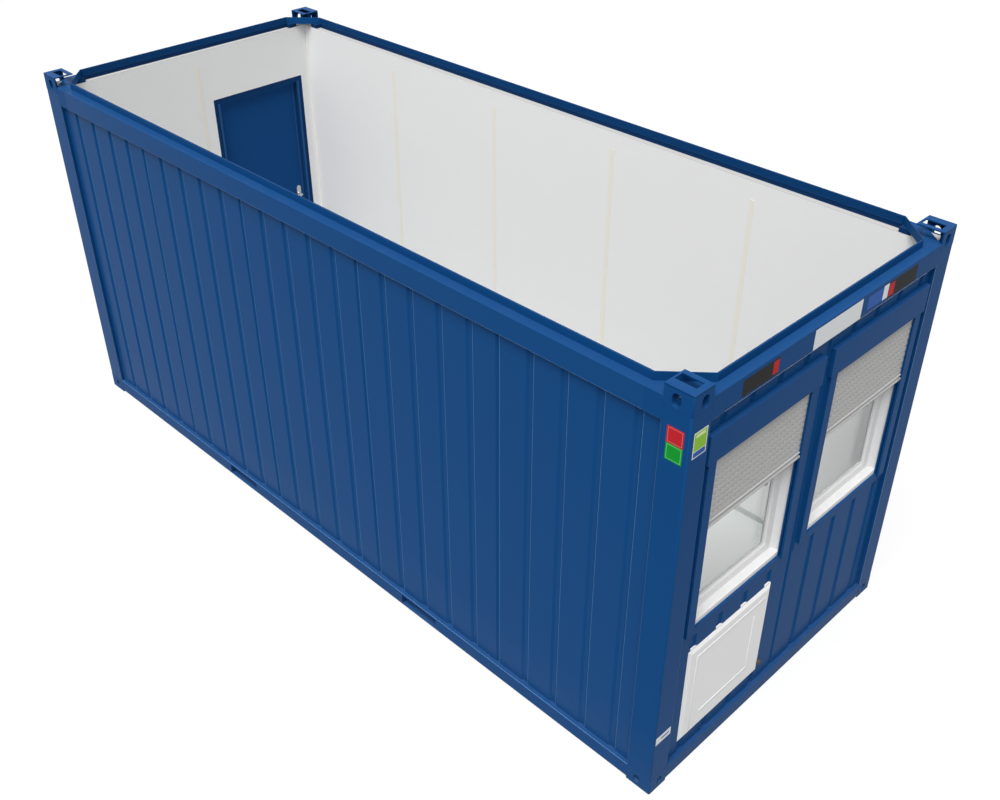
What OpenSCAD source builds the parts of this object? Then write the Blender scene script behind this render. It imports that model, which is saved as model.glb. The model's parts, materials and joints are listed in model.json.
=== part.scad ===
// Shipping container cabin: a steel-framed office cabin with its roof left off,
// two shuttered windows in one end and a hinged door in the other.
// +X runs to the window end, -Y faces the front long side, +Z is up.
// The origin is the centre of the footprint, level with the casting feet. Millimetres.

/* [Overall size] */
// Length over the corner fittings
cabin_length = 6058; // [3000:1:12200]
// Width over the corner fittings
cabin_width = 2438; // [1800:1:3000]
// Height over the corner fittings
cabin_height = 2800; // [2400:1:3200]

/* [Corner posts and castings] */
// Length of a casting and of a post's face along the cabin
corner_along = 173; // [160:1:200]
// Width of a casting and of a post's face across the cabin
corner_across = 150; // [140:1:180]
// Height of a casting
casting_high = 118; // [100:1:130]
// Wall of a casting
casting_wall = 8; // [5:1:14]
// Centre of a casting's holes from the cabin's end
hole_from_end = 98; // [88:1:104]
// Centre of a casting's holes from the cabin's side
hole_from_side = 88; // [80:1:92]
// Length of the hole in a casting's top or bottom plate
hole_along = 124; // [100:1:126]
// Width of the hole in a casting's top or bottom plate
hole_across = 62; // [50:1:66]
// Height of the upper castings' side slots
top_slot_high = 79; // [60:1:82]
// Width of the upper castings' side slots
top_slot_wide = 52; // [40:1:55]
// Centre of the upper slots below the cabin's top
top_slot_down = 69; // [60:1:72]
// Height of the lower castings' side slots
low_slot_high = 60; // [48:1:66]
// Width of the lower castings' side slots
low_slot_wide = 46; // [36:1:50]
// Centre of the lower slots above the feet
low_slot_up = 56; // [50:1:62]
// Rounding of the outer upright edges
corner_round = 10; // [4:1:20]
// How far the posts and rails lie behind the castings' faces
frame_behind = 1; // [0.5:0.5:5]
// Post steel thickness
post_sheet = 4; // [3:0.5:6]

/* [Floor frame] */
// Underside of the floor rails above the feet
rail_bottom = 15; // [5:1:40]
// Height of the floor rails
floor_rail_high = 103; // [80:1:180]
// Rail steel thickness
rail_sheet = 4; // [3:0.5:6]
// Depth of the floor rail's bottom flange
floor_foot = 60; // [40:1:90]
// Thickness of the floor board with its covering
deck_thick = 24; // [18:1:40]
// Thickness of the sheet under the floor
under_sheet = 3; // [1:0.5:5]

/* [Fork pockets] */
// Clear width of a pocket
pocket_wide = 344; // [300:1:370]
// Clear height of a pocket
pocket_high = 76; // [70:1:90]
// Underside of a pocket above the rail's underside
pocket_above_rail = 8; // [5:1:12]
// Distance between the two pocket centres
pocket_spacing = 2052; // [1500:1:2100]
// Steel thickness of the pocket tunnels
pocket_sheet = 4; // [3:0.5:6]

/* [Roof frame] */
// Height of the roof rail's outer face
roof_rail_high = 134; // [100:1:200]
// Level of the roof rail's ledge below the cabin's top
ledge_below_top = 74; // [60:1:100]
// Depth of the ledge
ledge_deep = 62; // [40:1:90]
// Height of the upstand over the ledge
upstand_high = 51; // [30:1:70]
// How far the inner web hangs below the ledge
inner_web_drop = 34; // [20:1:60]
// Gusset start from the cabin's end, on the long rails
gusset_along = 284; // [230:1:360]
// Gusset start from the cabin's side, on the end rails
gusset_across = 263; // [220:1:340]

/* [Walls] */
// How far the wall's crests lie behind the frame's outer faces
wall_recess = 28; // [15:1:45]
// Thickness of the walls from crest to inner face
wall_thick = 78; // [60:1:120]
// Depth of a groove
groove_deep = 10; // [5:1:15]
// Width of a groove at its mouth
groove_mouth = 56; // [40:1:80]
// Width of a groove's floor
groove_floor = 26; // [10:1:40]
// Distance between grooves in a panel
groove_pitch = 238; // [150:1:300]
// First groove of a panel from the panel's joint
groove_first = 235; // [150:1:300]
// Width of the slot at a panel joint
joint_mouth = 32; // [10:1:50]
// Width of one wall panel
panel_wide = 1166; // [1000:1:1200]
// Shift of the panel joints from the cabin's middle
panel_shift = 12; // [-60:1:60]

/* [Window openings] */
// Distance between the two windows' centres
window_spacing = 1084; // [1060:1:1200]
// Clear width between the shutter guides
window_wide = 834; // [600:1:860]
// Level of the opening's lower edge
window_sill = 1133; // [900:1:1300]
// How far the wall's cut reaches past a guide's inner edge
cut_past_guide = 30; // [20:1:40]

/* [Shutter boxes] */
// Width of a shutter box
box_wide = 1000; // [900:1:1050]
// Underside of the box, level with the top of the opening
box_bottom = 2308; // [2200:1:2350]
// Height of the box
box_high = 177; // [120:1:200]
// Steel thickness of the box
box_sheet = 3; // [2:0.5:5]
// Width of a shutter guide
guide_wide = 65; // [45:1:80]
// How far the guides lie behind the box's face
guide_recess = 6; // [1:1:12]
// How far the guides reach below the opening's lower edge
guide_below = 10; // [0:1:40]
// How far the flat sheet reaches below the opening's lower edge
apron_below = 60; // [20:1:100]
// How far the flat sheet reaches past the guides
apron_margin = 22; // [5:1:30]
// Thickness of the flat sheet
apron_thick = 3; // [1:0.5:5]

/* [Shutters] */
// Lower edge of the half-lowered shutter above the opening's lower edge
shutter_up = 724; // [100:1:1100]
// Height of one slat
slat_pitch = 39; // [30:0.5:60]
// Thickness of a slat
slat_thick = 8; // [6:0.5:10]
// Height of the bottom bar
bar_high = 46; // [30:1:60]
// How far the bottom bar's lip stands out
bar_lip = 5; // [2:0.5:8]
// How far the slats reach into a guide
slat_in_guide = 15; // [8:1:20]
// Clearance between the slats and their guides
slat_play = 0.5; // [0.3:0.1:0.9]

/* [Window frames] */
// Front of the white frame behind the wall's crests
frame_set_back = 12; // [8:1:20]
// Thickness of the frame's front edge beside the reveal
frame_edge = 13; // [8:1:20]
// How far the reveal narrows on each side towards the sash
reveal_splay = 26; // [0:1:40]
// Depth of the reveal
reveal_deep = 52; // [40:1:60]
// Height of the frame's lower and upper members
frame_member = 32; // [20:1:50]
// Face width of the sash
sash_face = 57; // [40:1:80]
// Depth of the sash
sash_deep = 40; // [30:1:60]
// Front of the glass behind the sash's face
glass_set_back = 12; // [6:1:16]
// Thickness of the glazing unit
glass_thick = 16; // [4:1:24]

/* [Doorway] */
// Middle of the doorway from the cabin's middle
door_centre = 573; // [0:1:620]
// Width of the cut in the wall for the door frame
door_cut_wide = 908; // [800:1:1100]
// Level of the cut's upper edge
door_cut_head = 2268; // [2000:1:2350]
// Width of the frame beside the leaf
jamb_wide = 30; // [20:1:60]
// Extra width of the stop inside the leaf
stop_wide = 20; // [12:1:30]
// Height of the threshold under the leaf
threshold_high = 30; // [15:1:60]
// Cover flange of the frame on the outer face
door_flange = 30; // [15:1:60]
// Thickness of the cover flange
flange_thick = 4; // [2:0.5:6]

/* [Door leaf] */
// Clearance round the leaf
leaf_gap = 8; // [7:0.5:12]
// Thickness of the leaf
leaf_thick = 40; // [30:1:60]
// Hinge barrel radius
barrel_r = 8; // [6:0.5:10]
// Hinge pin radius
pin_r = 5; // [4:0.5:7]
// Running clearance between a pin and its barrel
pin_play = 0.1; // [0.05:0.01:0.3]
// Length of half a hinge barrel
barrel_half = 60; // [40:1:90]
// Gap between the two halves of a barrel
barrel_gap = 2; // [1:0.5:4]
// Length of the pin above its barrel
pin_up = 50; // [30:1:60]
// Hinge axis outward from the leaf's face
hinge_out = 13.5; // [13:0.5:15]
// Width of a hinge flap
flap_wide = 38; // [25:1:60]
// Thickness of a hinge flap
flap_thick = 6; // [4:0.5:7]
// Number of hinges
hinge_count = 3; // [2:1:4]
// Outer hinges from the ends of the leaf
hinge_inset = 200; // [120:1:400]

/* [Door lever] */
// Height of the lever above the floor
lever_above_floor = 1025; // [900:1:1150]
// Lever axis from the leaf's lock edge
lever_backset = 87; // [50:1:110]
// Radius of the lever's neck
neck_r = 10; // [7:0.5:13]
// Running clearance round the lever's neck
neck_play = 0.1; // [0.05:0.01:0.3]
// Length of the lever
lever_long = 125; // [90:1:150]
// Height of the lever's grip
grip_high = 20; // [14:1:26]
// Thickness of the lever's grip
grip_thick = 11; // [8:1:14]
// How far the outer grip stands off the leaf
outer_standoff = 23; // [22:0.5:24]
// How far the inner grip stands off the leaf
inner_standoff = 48; // [40:1:60]
// Height of a lever plate
plate_high = 180; // [120:1:260]
// Width of a lever plate
plate_wide = 42; // [30:1:55]
// Thickness of a lever plate
plate_thick = 5; // [3:0.5:6]
// How much of a plate is above the lever's axis
plate_above = 78; // [40:1:120]

/* [Service cover] */
// Width of the white service cover
cover_wide = 794; // [400:1:900]
// Height of the white service cover
cover_high = 743; // [400:1:800]
// Lower edge of the cover
cover_bottom = 215; // [150:1:300]
// Middle of the cover from the cabin's middle
cover_centre = -557; // [-650:1:650]
// How far the cover stands off the wall's crests
cover_proud = 12; // [6:1:25]
// Width of the cover's sloping edge
cover_slope = 25; // [6:1:40]

/* [Output] */
// Sub-part to build, or all

/* [Hidden] */
$fn = 48;
half_l = cabin_length / 2;
half_w = cabin_width / 2;
corner_list = [[1, -1], [-1, -1], [1, 1], [-1, 1]];

web_back = frame_behind + rail_sheet;
rail_top = rail_bottom + floor_rail_high;
pocket_floor = rail_bottom + pocket_above_rail;
pocket_top = pocket_floor + pocket_high;
deck_top = rail_top + deck_thick;
ledge_z = cabin_height - ledge_below_top;
roof_rail_bottom = ledge_z - roof_rail_high;
upstand_top = ledge_z + upstand_high;
wall_top = ledge_z - inner_web_drop;
plate_under = ledge_z - rail_sheet;
post_head = cabin_height - casting_high;
wall_inner = wall_recess + wall_thick;
long_rail = cabin_length - 2 * corner_along;
end_rail = cabin_width - 2 * corner_across;
long_reach = half_l - wall_recess;
end_reach = half_w - wall_inner;
long_joint = panel_wide / 2 + panel_shift;

box_top = box_bottom + box_high;
cut_wide = window_wide + 2 * cut_past_guide;
cut_low = window_sill - apron_thick;
frame_from = wall_recess + frame_set_back;
sash_from = frame_from + reveal_deep;
sash_to = sash_from + sash_deep;
frame_clear = cut_wide - 2 * frame_edge;
sash_wide = frame_clear - 2 * reveal_splay;
sash_low = window_sill + frame_member;
sash_high = box_bottom - frame_member;
guide_from = frame_behind + guide_recess;
slat_from = (guide_from + frame_from - slat_thick) / 2 + 1;
shutter_low = window_sill + shutter_up;

leaf_outer = -half_l + wall_recess - flange_thick;
leaf_inner = leaf_outer + leaf_thick;
door_low = door_centre - door_cut_wide / 2;
door_high = door_centre + door_cut_wide / 2;
leaf_hinge_y = door_low + jamb_wide + leaf_gap;
leaf_lock_y = door_high - jamb_wide - leaf_gap;
leaf_bottom = rail_top + threshold_high + leaf_gap;
leaf_top = door_cut_head - jamb_wide - leaf_gap;
hinge_x = leaf_outer - hinge_out;
hinge_y = leaf_hinge_y - leaf_gap / 2;
hinge_step = (leaf_top - leaf_bottom - 2 * hinge_inset) / (hinge_count - 1);
lever_y = leaf_lock_y - lever_backset;
lever_z = deck_top + lever_above_floor;

BLUE = [0.07, 0.2, 0.42];
WHITE = [0.85, 0.85, 0.84];
GREY = [0.58, 0.58, 0.58];
FLOOR = [0.62, 0.63, 0.62];
GLASS = [0.75, 0.82, 0.84, 0.4];
STEEL = [0.72, 0.73, 0.74];

// ---- helpers ----

// A plan profile drawn with depth along +X, set on the long side that faces -Y.
module along_length(length) {
    rotate([90, 0, 90])
        linear_extrude(length, center = true)
            children();
}

// Turns a piece made for the front long side to another side of the cabin.
module on_front() {
    translate([0, -half_w, 0]) children();
}

module on_back() {
    rotate([0, 0, 180]) translate([0, -half_w, 0]) children();
}

module on_window_end() {
    rotate([0, 0, 90]) translate([0, -half_l, 0]) children();
}

module on_door_end() {
    rotate([0, 0, -90]) translate([0, -half_l, 0]) children();
}

// Puts a corner piece made for the front window corner at one of the four corners.
module at_corner(sx, sy) {
    mirror([sx < 0 ? 1 : 0, 0, 0])
        mirror([0, sy > 0 ? 1 : 0, 0])
            translate([half_l, -half_w, 0])
                children();
}

// The cabin's corner in plan, its outer upright edge rounded.
module corner_plan(inset) {
    r = corner_round;
    translate([-gusset_along, inset]) square([gusset_along - inset - r, gusset_across]);
    translate([-inset - r, inset + r]) {
        square([r, gusset_across]);
        circle(r);
    }
}

// An obround slot cut, upright, running through along +Y.
module slot_cut(wide, high) {
    rotate([-90, 0, 0]) {
        for (s = [-1, 1])
            translate([0, s * (high - wide) / 2, -1])
                cylinder(r = wide / 2, h = casting_wall + 2);
        translate([-wide / 2, -(high - wide) / 2, -1])
            cube([wide, high - wide, casting_wall + 2]);
    }
}

// The two side slots and the plate's hole of one casting, at one level.
module casting_holes(wide, high, slot_z, plate_z) {
    translate([-hole_from_end, 0, slot_z]) slot_cut(wide, high);
    translate([0, hole_from_side, slot_z]) rotate([0, 0, 90]) slot_cut(wide, high);
    translate([-hole_from_end - hole_along / 2, hole_from_side - hole_across / 2, plate_z - 1])
        cube([hole_along, hole_across, casting_wall + 2]);
}

// ---- floor frame ----

// Depth along X, height along Y.
module floor_rail_profile() {
    translate([frame_behind, rail_bottom]) {
        square([rail_sheet, floor_rail_high]);
        square([floor_foot, rail_sheet]);
    }
    translate([frame_behind, rail_top - rail_sheet])
        square([corner_across - frame_behind, rail_sheet]);
}

module long_floor_rail() {
    color(BLUE)
        difference() {
            along_length(long_rail) floor_rail_profile();
            for (s = [-1, 1])
                translate([s * pocket_spacing / 2, 0, 0]) {
                    translate([-pocket_wide / 2, -1, pocket_floor])
                        cube([pocket_wide, web_back + 2, pocket_high]);
                    translate([-pocket_wide / 2 - pocket_sheet, web_back,
                               pocket_floor - pocket_sheet])
                        cube([pocket_wide + 2 * pocket_sheet, floor_foot,
                              pocket_high + 2 * pocket_sheet]);
                }
        }
}

module end_floor_rail() {
    color(BLUE) along_length(end_rail) floor_rail_profile();
}

module floor_rail_front() { on_front() long_floor_rail(); }
module floor_rail_back() { on_back() long_floor_rail(); }
module floor_rail_window_end() { on_window_end() end_floor_rail(); }
module floor_rail_door_end() { on_door_end() end_floor_rail(); }

module fork_tunnel(side) {
    reach = cabin_width - 2 * web_back;
    outer = [pocket_wide + 2 * pocket_sheet, reach, pocket_high + 2 * pocket_sheet];
    color(BLUE)
        translate([side * pocket_spacing / 2, 0, pocket_floor + pocket_high / 2])
            difference() {
                cube(outer, center = true);
                cube([pocket_wide, reach + 2, pocket_high], center = true);
            }
}

module fork_tunnel_left() { fork_tunnel(-1); }
module fork_tunnel_right() { fork_tunnel(1); }

module underfloor_sheet() {
    low = pocket_top + pocket_sheet;
    color(GREY)
        difference() {
            translate([0, 0, low + under_sheet / 2])
                cube([cabin_length - 2 * web_back, cabin_width - 2 * web_back,
                      under_sheet], center = true);
            for (c = corner_list)
                at_corner(c[0], c[1])
                    translate([-corner_along, -1, low - 1])
                        cube([corner_along + 1, corner_across + 1, under_sheet + 2]);
        }
}

module floor_deck() {
    color(FLOOR)
        translate([0, 0, rail_top + deck_thick / 2])
            cube([cabin_length - 2 * wall_inner, cabin_width - 2 * wall_inner,
                  deck_thick], center = true);
}

module casting() {
    wall = casting_wall;
    color(BLUE)
        difference() {
            linear_extrude(casting_high)
                intersection() {
                    corner_plan(0);
                    translate([-corner_along, 0]) square([corner_along, corner_across]);
                }
            translate([-corner_along + wall, wall, wall])
                cube([corner_along - 2 * wall, corner_across - 2 * wall,
                      casting_high - 2 * wall]);
            casting_holes(low_slot_wide, low_slot_high, low_slot_up, 0);
        }
}

module corner_casting_front_window() { at_corner(1, -1) casting(); }
module corner_casting_front_door() { at_corner(-1, -1) casting(); }
module corner_casting_back_window() { at_corner(1, 1) casting(); }
module corner_casting_back_door() { at_corner(-1, 1) casting(); }

// ---- corner posts ----

// The folded sheet of a post, with its two lips back to the walls.
module post_plan() {
    difference() {
        translate([-corner_along, 0]) square([corner_along, corner_across]);
        translate([-corner_along - 1, frame_behind + post_sheet])
            square([corner_along + 1 - frame_behind - post_sheet, corner_across]);
    }
    translate([-corner_along, 0]) square([post_sheet, wall_recess]);
    translate([-wall_recess, corner_across - post_sheet]) square([wall_recess, post_sheet]);
}

module post() {
    color(BLUE)
        translate([0, 0, casting_high])
            linear_extrude(post_head - casting_high)
                intersection() {
                    corner_plan(frame_behind);
                    post_plan();
                }
}

module corner_post_front_window() { at_corner(1, -1) post(); }
module corner_post_front_door() { at_corner(-1, -1) post(); }
module corner_post_back_window() { at_corner(1, 1) post(); }
module corner_post_back_door() { at_corner(-1, 1) post(); }

// ---- roof frame ----

module roof_corner() {
    wall = casting_wall;
    color(BLUE) {
        difference() {
            translate([0, 0, post_head])
                linear_extrude(casting_high)
                    intersection() {
                        corner_plan(0);
                        translate([-corner_along, 0]) square([corner_along, corner_across]);
                    }
            translate([-corner_along - 1, wall, post_head - 1])
                cube([corner_along + 1 - wall, corner_across, casting_high + 1 - wall]);
            casting_holes(top_slot_wide, top_slot_high, cabin_height - top_slot_down,
                          cabin_height - wall);
        }
        corner_plate();
        gusset();
        corner_rails();
    }
}

// The ledge plate between the two roof rails, cut back along the fitting's diagonal.
module corner_plate() {
    translate([0, 0, plate_under])
        linear_extrude(rail_sheet)
            polygon([
                [-corner_along, web_back],
                [-corner_along, frame_behind],
                [-gusset_along, frame_behind],
                [-gusset_along, ledge_deep],
                [-ledge_deep, gusset_across],
                [-frame_behind, gusset_across],
                [-frame_behind, corner_across],
                [-web_back, corner_across]
            ]);
}

// The upright plate that joins the two rails' upstands across the corner.
module gusset() {
    run = gusset_along - ledge_deep;
    rise = gusset_across - ledge_deep;
    slant = sqrt(run * run + rise * rise);
    translate([0, 0, plate_under])
        linear_extrude(upstand_high + rail_sheet)
            polygon([
                [-gusset_along, ledge_deep],
                [-ledge_deep, gusset_across],
                [-ledge_deep - rail_sheet * slant / rise, gusset_across],
                [-gusset_along, ledge_deep + rail_sheet * slant / run]
            ]);
}

// The roof rails' faces and lower flanges between the fitting and the rails' ends.
module corner_rails() {
    lip = wall_recess - frame_behind;
    translate([-gusset_along, frame_behind, roof_rail_bottom]) {
        cube([gusset_along - corner_along, rail_sheet, roof_rail_high]);
        cube([gusset_along - corner_along, lip, rail_sheet]);
    }
    translate([-web_back, corner_across, roof_rail_bottom])
        cube([rail_sheet, gusset_across - corner_across, roof_rail_high]);
    translate([-wall_recess, corner_across, roof_rail_bottom])
        cube([lip, gusset_across - corner_across, rail_sheet]);
}

module roof_corner_front_window() { at_corner(1, -1) roof_corner(); }
module roof_corner_front_door() { at_corner(-1, -1) roof_corner(); }
module roof_corner_back_window() { at_corner(1, 1) roof_corner(); }
module roof_corner_back_door() { at_corner(-1, 1) roof_corner(); }

module roof_rail_profile() {
    translate([frame_behind, roof_rail_bottom]) {
        square([rail_sheet, roof_rail_high]);
        square([wall_recess - frame_behind, rail_sheet]);
    }
    translate([frame_behind, plate_under])
        square([ledge_deep + rail_sheet - frame_behind, rail_sheet]);
    translate([ledge_deep, wall_top]) square([rail_sheet, upstand_top - wall_top]);
}

module roof_rail(length) {
    color(BLUE) along_length(length) roof_rail_profile();
}

module roof_rail_front() { on_front() roof_rail(cabin_length - 2 * gusset_along); }
module roof_rail_back() { on_back() roof_rail(cabin_length - 2 * gusset_along); }
module roof_rail_window_end() { on_window_end() roof_rail(cabin_width - 2 * gusset_across); }
module roof_rail_door_end() { on_door_end() roof_rail(cabin_width - 2 * gusset_across); }

// ---- walls ----

// One groove's plan, from the crest plane inward.
module groove_plan(mouth, floor_wide) {
    polygon([
        [-mouth / 2, -1], [mouth / 2, -1],
        [mouth / 2, 0], [floor_wide / 2, groove_deep],
        [-floor_wide / 2, groove_deep], [-mouth / 2, 0]
    ]);
}

// Grooves and panel joints within reach of a side's middle, seen from outside.
module groove_cuts(reach, joint_at) {
    panels = ceil(2 * reach / panel_wide) + 1;
    for (p = [-panels : panels]) {
        joint = joint_at + p * panel_wide;
        if (abs(joint) < reach - joint_mouth)
            translate([joint, wall_recess])
                groove_plan(joint_mouth, joint_mouth / 3);
        for (g = [0 : 3])
            if (abs(joint + groove_first + g * groove_pitch) < reach - groove_mouth)
                translate([joint + groove_first + g * groove_pitch, wall_recess])
                    groove_plan(groove_mouth, groove_floor);
    }
}

// A slab of wall between two positions along its side, seen from outside.
module wall_slab(from, to, low, high, reach, joint_at) {
    color(BLUE)
        translate([0, 0, low])
            linear_extrude(high - low)
                difference() {
                    translate([from, wall_recess]) square([to - from, wall_thick]);
                    groove_cuts(reach, joint_at);
                }
}

// The stretch of wall that rises beside a corner, under the corner plates.
module wall_shoulder(from, to) {
    color(BLUE)
        translate([from, wall_recess, wall_top])
            cube([to - from, wall_thick, plate_under - wall_top]);
}

module long_wall() {
    wall_slab(-long_reach, long_reach, rail_top, wall_top, long_rail / 2, long_joint);
    wall_shoulder(-long_reach, -half_l + gusset_along);
    wall_shoulder(half_l - gusset_along, long_reach);
}

module wall_front() { on_front() long_wall(); }
module wall_back() { on_back() long_wall(); }

module end_slab(from, to, low, high) {
    wall_slab(from, to, low, high, end_rail / 2, panel_shift);
}

cut_left = -window_spacing / 2 - cut_wide / 2;
cut_right = -window_spacing / 2 + cut_wide / 2;
shoulder = half_w - gusset_across;

module wall_under_windows() { on_window_end() end_slab(-end_reach, end_reach, rail_top, cut_low); }
module wall_pier_left() { on_window_end() end_slab(-end_reach, cut_left, cut_low, box_top); }
module wall_pier_middle() { on_window_end() end_slab(cut_right, -cut_right, cut_low, box_top); }
module wall_pier_right() { on_window_end() end_slab(-cut_left, end_reach, cut_low, box_top); }

module wall_over_windows() {
    on_window_end() {
        end_slab(-end_reach, end_reach, box_top, wall_top);
        wall_shoulder(-end_reach, -shoulder);
        wall_shoulder(shoulder, end_reach);
    }
}

// Seen from outside, the door end has +Y on the left.
module wall_beside_door() {
    on_door_end() {
        end_slab(-door_low, end_reach, rail_top, wall_top);
        wall_shoulder(shoulder, end_reach);
    }
}

module wall_door_side() {
    on_door_end() {
        end_slab(-end_reach, -door_high, rail_top, wall_top);
        wall_shoulder(-end_reach, -max(door_high, shoulder));
    }
}

module wall_over_door() {
    on_door_end() {
        end_slab(-door_high, -door_low, door_cut_head, wall_top);
        if (door_high > shoulder)
            wall_shoulder(-door_high, -shoulder);
    }
}

// ---- windows ----

// Works on one window: X along the window end seen from outside, Y the depth.
module at_window(side) {
    on_window_end() translate([side * window_spacing / 2, 0, 0]) children();
}

// A box between two widths' halves, two depths and two levels, about X = 0.
module block(wide, from, to, low, high) {
    translate([-wide / 2, from, low]) cube([wide, to - from, high - low]);
}

module window_frame(side) {
    color(WHITE)
        at_window(side) {
            difference() {
                block(cut_wide, frame_from, wall_inner, window_sill, box_bottom);
                translate([0, 0, sash_low])
                    linear_extrude(sash_high - sash_low)
                        polygon([
                            [-frame_clear / 2, frame_from - 0.01],
                            [frame_clear / 2, frame_from - 0.01],
                            [sash_wide / 2, sash_from],
                            [sash_wide / 2, wall_inner + 1],
                            [-sash_wide / 2, wall_inner + 1],
                            [-sash_wide / 2, sash_from]
                        ]);
            }
            difference() {
                block(sash_wide, sash_from, sash_to, sash_low, sash_high);
                block(sash_wide - 2 * sash_face, sash_from - 1, sash_to + 1,
                      sash_low + sash_face, sash_high - sash_face);
            }
        }
}

module window_glass(side) {
    from = sash_from + glass_set_back;
    color(GLASS)
        at_window(side)
            block(sash_wide - 2 * sash_face, from, from + glass_thick,
                  sash_low + sash_face, sash_high - sash_face);
}

module window_frame_left() { window_frame(-1); }
module window_frame_right() { window_frame(1); }
module window_glass_left() { window_glass(-1); }
module window_glass_right() { window_glass(1); }

// ---- shutters ----

// The housing over the window, its flat sheet and sill pan, and the two guides.
module shutter_box(side) {
    room_from = frame_behind + box_sheet;
    color(BLUE)
        at_window(side) {
            difference() {
                union() {
                    block(box_wide, frame_behind, wall_recess, box_bottom, box_top);
                    block(cut_wide, frame_behind, wall_inner, box_bottom, box_top);
                }
                block(box_wide - 2 * box_sheet, room_from, wall_recess - apron_thick,
                      box_bottom + box_sheet, box_top - box_sheet);
                block(cut_wide - 2 * box_sheet, room_from, wall_inner - box_sheet,
                      box_bottom + box_sheet, box_top - box_sheet);
                curtain_room(box_bottom - 1, box_bottom + box_sheet + 1);
            }
            difference() {
                block(window_wide + 2 * guide_wide + 2 * apron_margin,
                      wall_recess - apron_thick, wall_recess,
                      window_sill - apron_below, box_bottom);
                block(cut_wide, wall_recess - apron_thick - 1, wall_recess + 1,
                      window_sill, box_bottom + 1);
            }
            block(cut_wide, wall_recess, wall_inner, cut_low, window_sill);
            for (s = [0, 1])
                mirror([s, 0, 0]) guide();
        }
}

// The slot that the slats run in.
module curtain_room(low, high) {
    block(window_wide + 2 * (slat_in_guide - slat_play), slat_from - slat_play,
          slat_from + slat_thick + slat_play, low, high);
}

module guide() {
    inner = window_wide / 2;
    difference() {
        union() {
            translate([inner, guide_from, window_sill - guide_below])
                cube([guide_wide, wall_recess - apron_thick - guide_from,
                      box_bottom - window_sill + guide_below]);
            translate([inner, guide_from, window_sill])
                cube([cut_past_guide, frame_from - guide_from, box_bottom - window_sill]);
        }
        curtain_room(window_sill, box_bottom + 1);
    }
}

module shutter_box_left() { shutter_box(-1); }
module shutter_box_right() { shutter_box(1); }

// One slat's section: depth along X, height along Y, its belly outward.
module slat_profile() {
    polygon([
        [slat_thick * 0.45, 0],
        [0, slat_pitch * 0.3],
        [slat_thick * 0.1, slat_pitch * 0.62],
        [slat_thick * 0.45, slat_pitch],
        [slat_thick, slat_pitch],
        [slat_thick * 0.75, slat_pitch * 0.5],
        [slat_thick, 0]
    ]);
}

module shutter_curtain(side) {
    wide = window_wide + 2 * (slat_in_guide - 2 * slat_play);
    slats = ceil((box_bottom - shutter_low - bar_high) / slat_pitch);
    color(GREY)
        at_window(side) {
            for (i = [0 : slats - 1])
                translate([0, slat_from, shutter_low + bar_high + i * slat_pitch])
                    along_length(wide) slat_profile();
            block(wide, slat_from, slat_from + slat_thick, shutter_low, shutter_low + bar_high);
            translate([0, slat_from, shutter_low])
                along_length(window_wide - 4 * slat_play)
                    polygon([
                        [0, 0], [-bar_lip, 0], [-bar_lip, bar_high * 0.22],
                        [0, bar_high * 0.3]
                    ]);
        }
}

module shutter_curtain_left() { shutter_curtain(-1); }
module shutter_curtain_right() { shutter_curtain(1); }

// ---- door ----

// A box between two X, two Y and two Z positions.
module span(x0, x1, y0, y1, z0, z1) {
    translate([x0, y0, z0]) cube([x1 - x0, y1 - y0, z1 - z0]);
}

module hinge_at(index) {
    translate([hinge_x, hinge_y, leaf_bottom + hinge_inset + index * hinge_step])
        children();
}

module door_frame() {
    outer_x = leaf_outer;
    stop_x = leaf_inner + leaf_gap;
    inner_x = -half_l + wall_inner;
    jamb = jamb_wide;
    stop = jamb_wide + stop_wide;
    color(BLUE) {
        difference() {
            union() {
                span(outer_x, inner_x, door_low, door_high, rail_top, door_cut_head);
                span(outer_x, outer_x + flange_thick, door_low - door_flange,
                     door_high + door_flange, rail_top, door_cut_head + door_flange);
            }
            span(outer_x - 1, stop_x, door_low + jamb, door_high - jamb,
                 rail_top + threshold_high, door_cut_head - jamb);
            span(stop_x - 1, inner_x + 1, door_low + stop, door_high - stop,
                 rail_top + threshold_high + stop_wide / 2, door_cut_head - stop);
        }
        for (i = [0 : hinge_count - 1])
            hinge_at(i) {
                translate([0, 0, -barrel_half])
                    cylinder(r = barrel_r, h = barrel_half);
                cylinder(r = pin_r, h = pin_up);
                translate([hinge_out - flap_thick, -flap_wide, -barrel_half])
                    cube([flap_thick, flap_wide - leaf_gap / 2, barrel_half]);
                translate([0, -barrel_r, -barrel_half])
                    cube([hinge_out, barrel_r - leaf_gap / 2, barrel_half]);
            }
    }
}

module door_leaf() {
    color(BLUE) {
        difference() {
            span(leaf_outer, leaf_inner, leaf_hinge_y, leaf_lock_y, leaf_bottom, leaf_top);
            neck_hole(leaf_outer, leaf_inner);
        }
        for (i = [0 : hinge_count - 1])
            hinge_at(i)
                difference() {
                    union() {
                        translate([0, 0, barrel_gap])
                            cylinder(r = barrel_r, h = barrel_half);
                        translate([0, leaf_gap / 2, barrel_gap])
                            cube([hinge_out, barrel_r - leaf_gap / 2, barrel_half]);
                        translate([hinge_out - flap_thick, leaf_gap / 2, barrel_gap])
                            cube([flap_thick, flap_wide, barrel_half]);
                    }
                    translate([0, 0, -1])
                        cylinder(r = pin_r + pin_play, h = pin_up + 2);
                }
    }
    color(STEEL) {
        lever_plate(leaf_outer - plate_thick);
        lever_plate(leaf_inner);
    }
}

module neck_hole(from, to) {
    translate([from - 1, lever_y, lever_z])
        rotate([0, 90, 0])
            cylinder(r = neck_r + neck_play, h = to - from + 2);
}

module lever_plate(x) {
    difference() {
        span(x, x + plate_thick, lever_y - plate_wide / 2, lever_y + plate_wide / 2,
             lever_z + plate_above - plate_high, lever_z + plate_above);
        neck_hole(x, x + plate_thick);
    }
}

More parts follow.
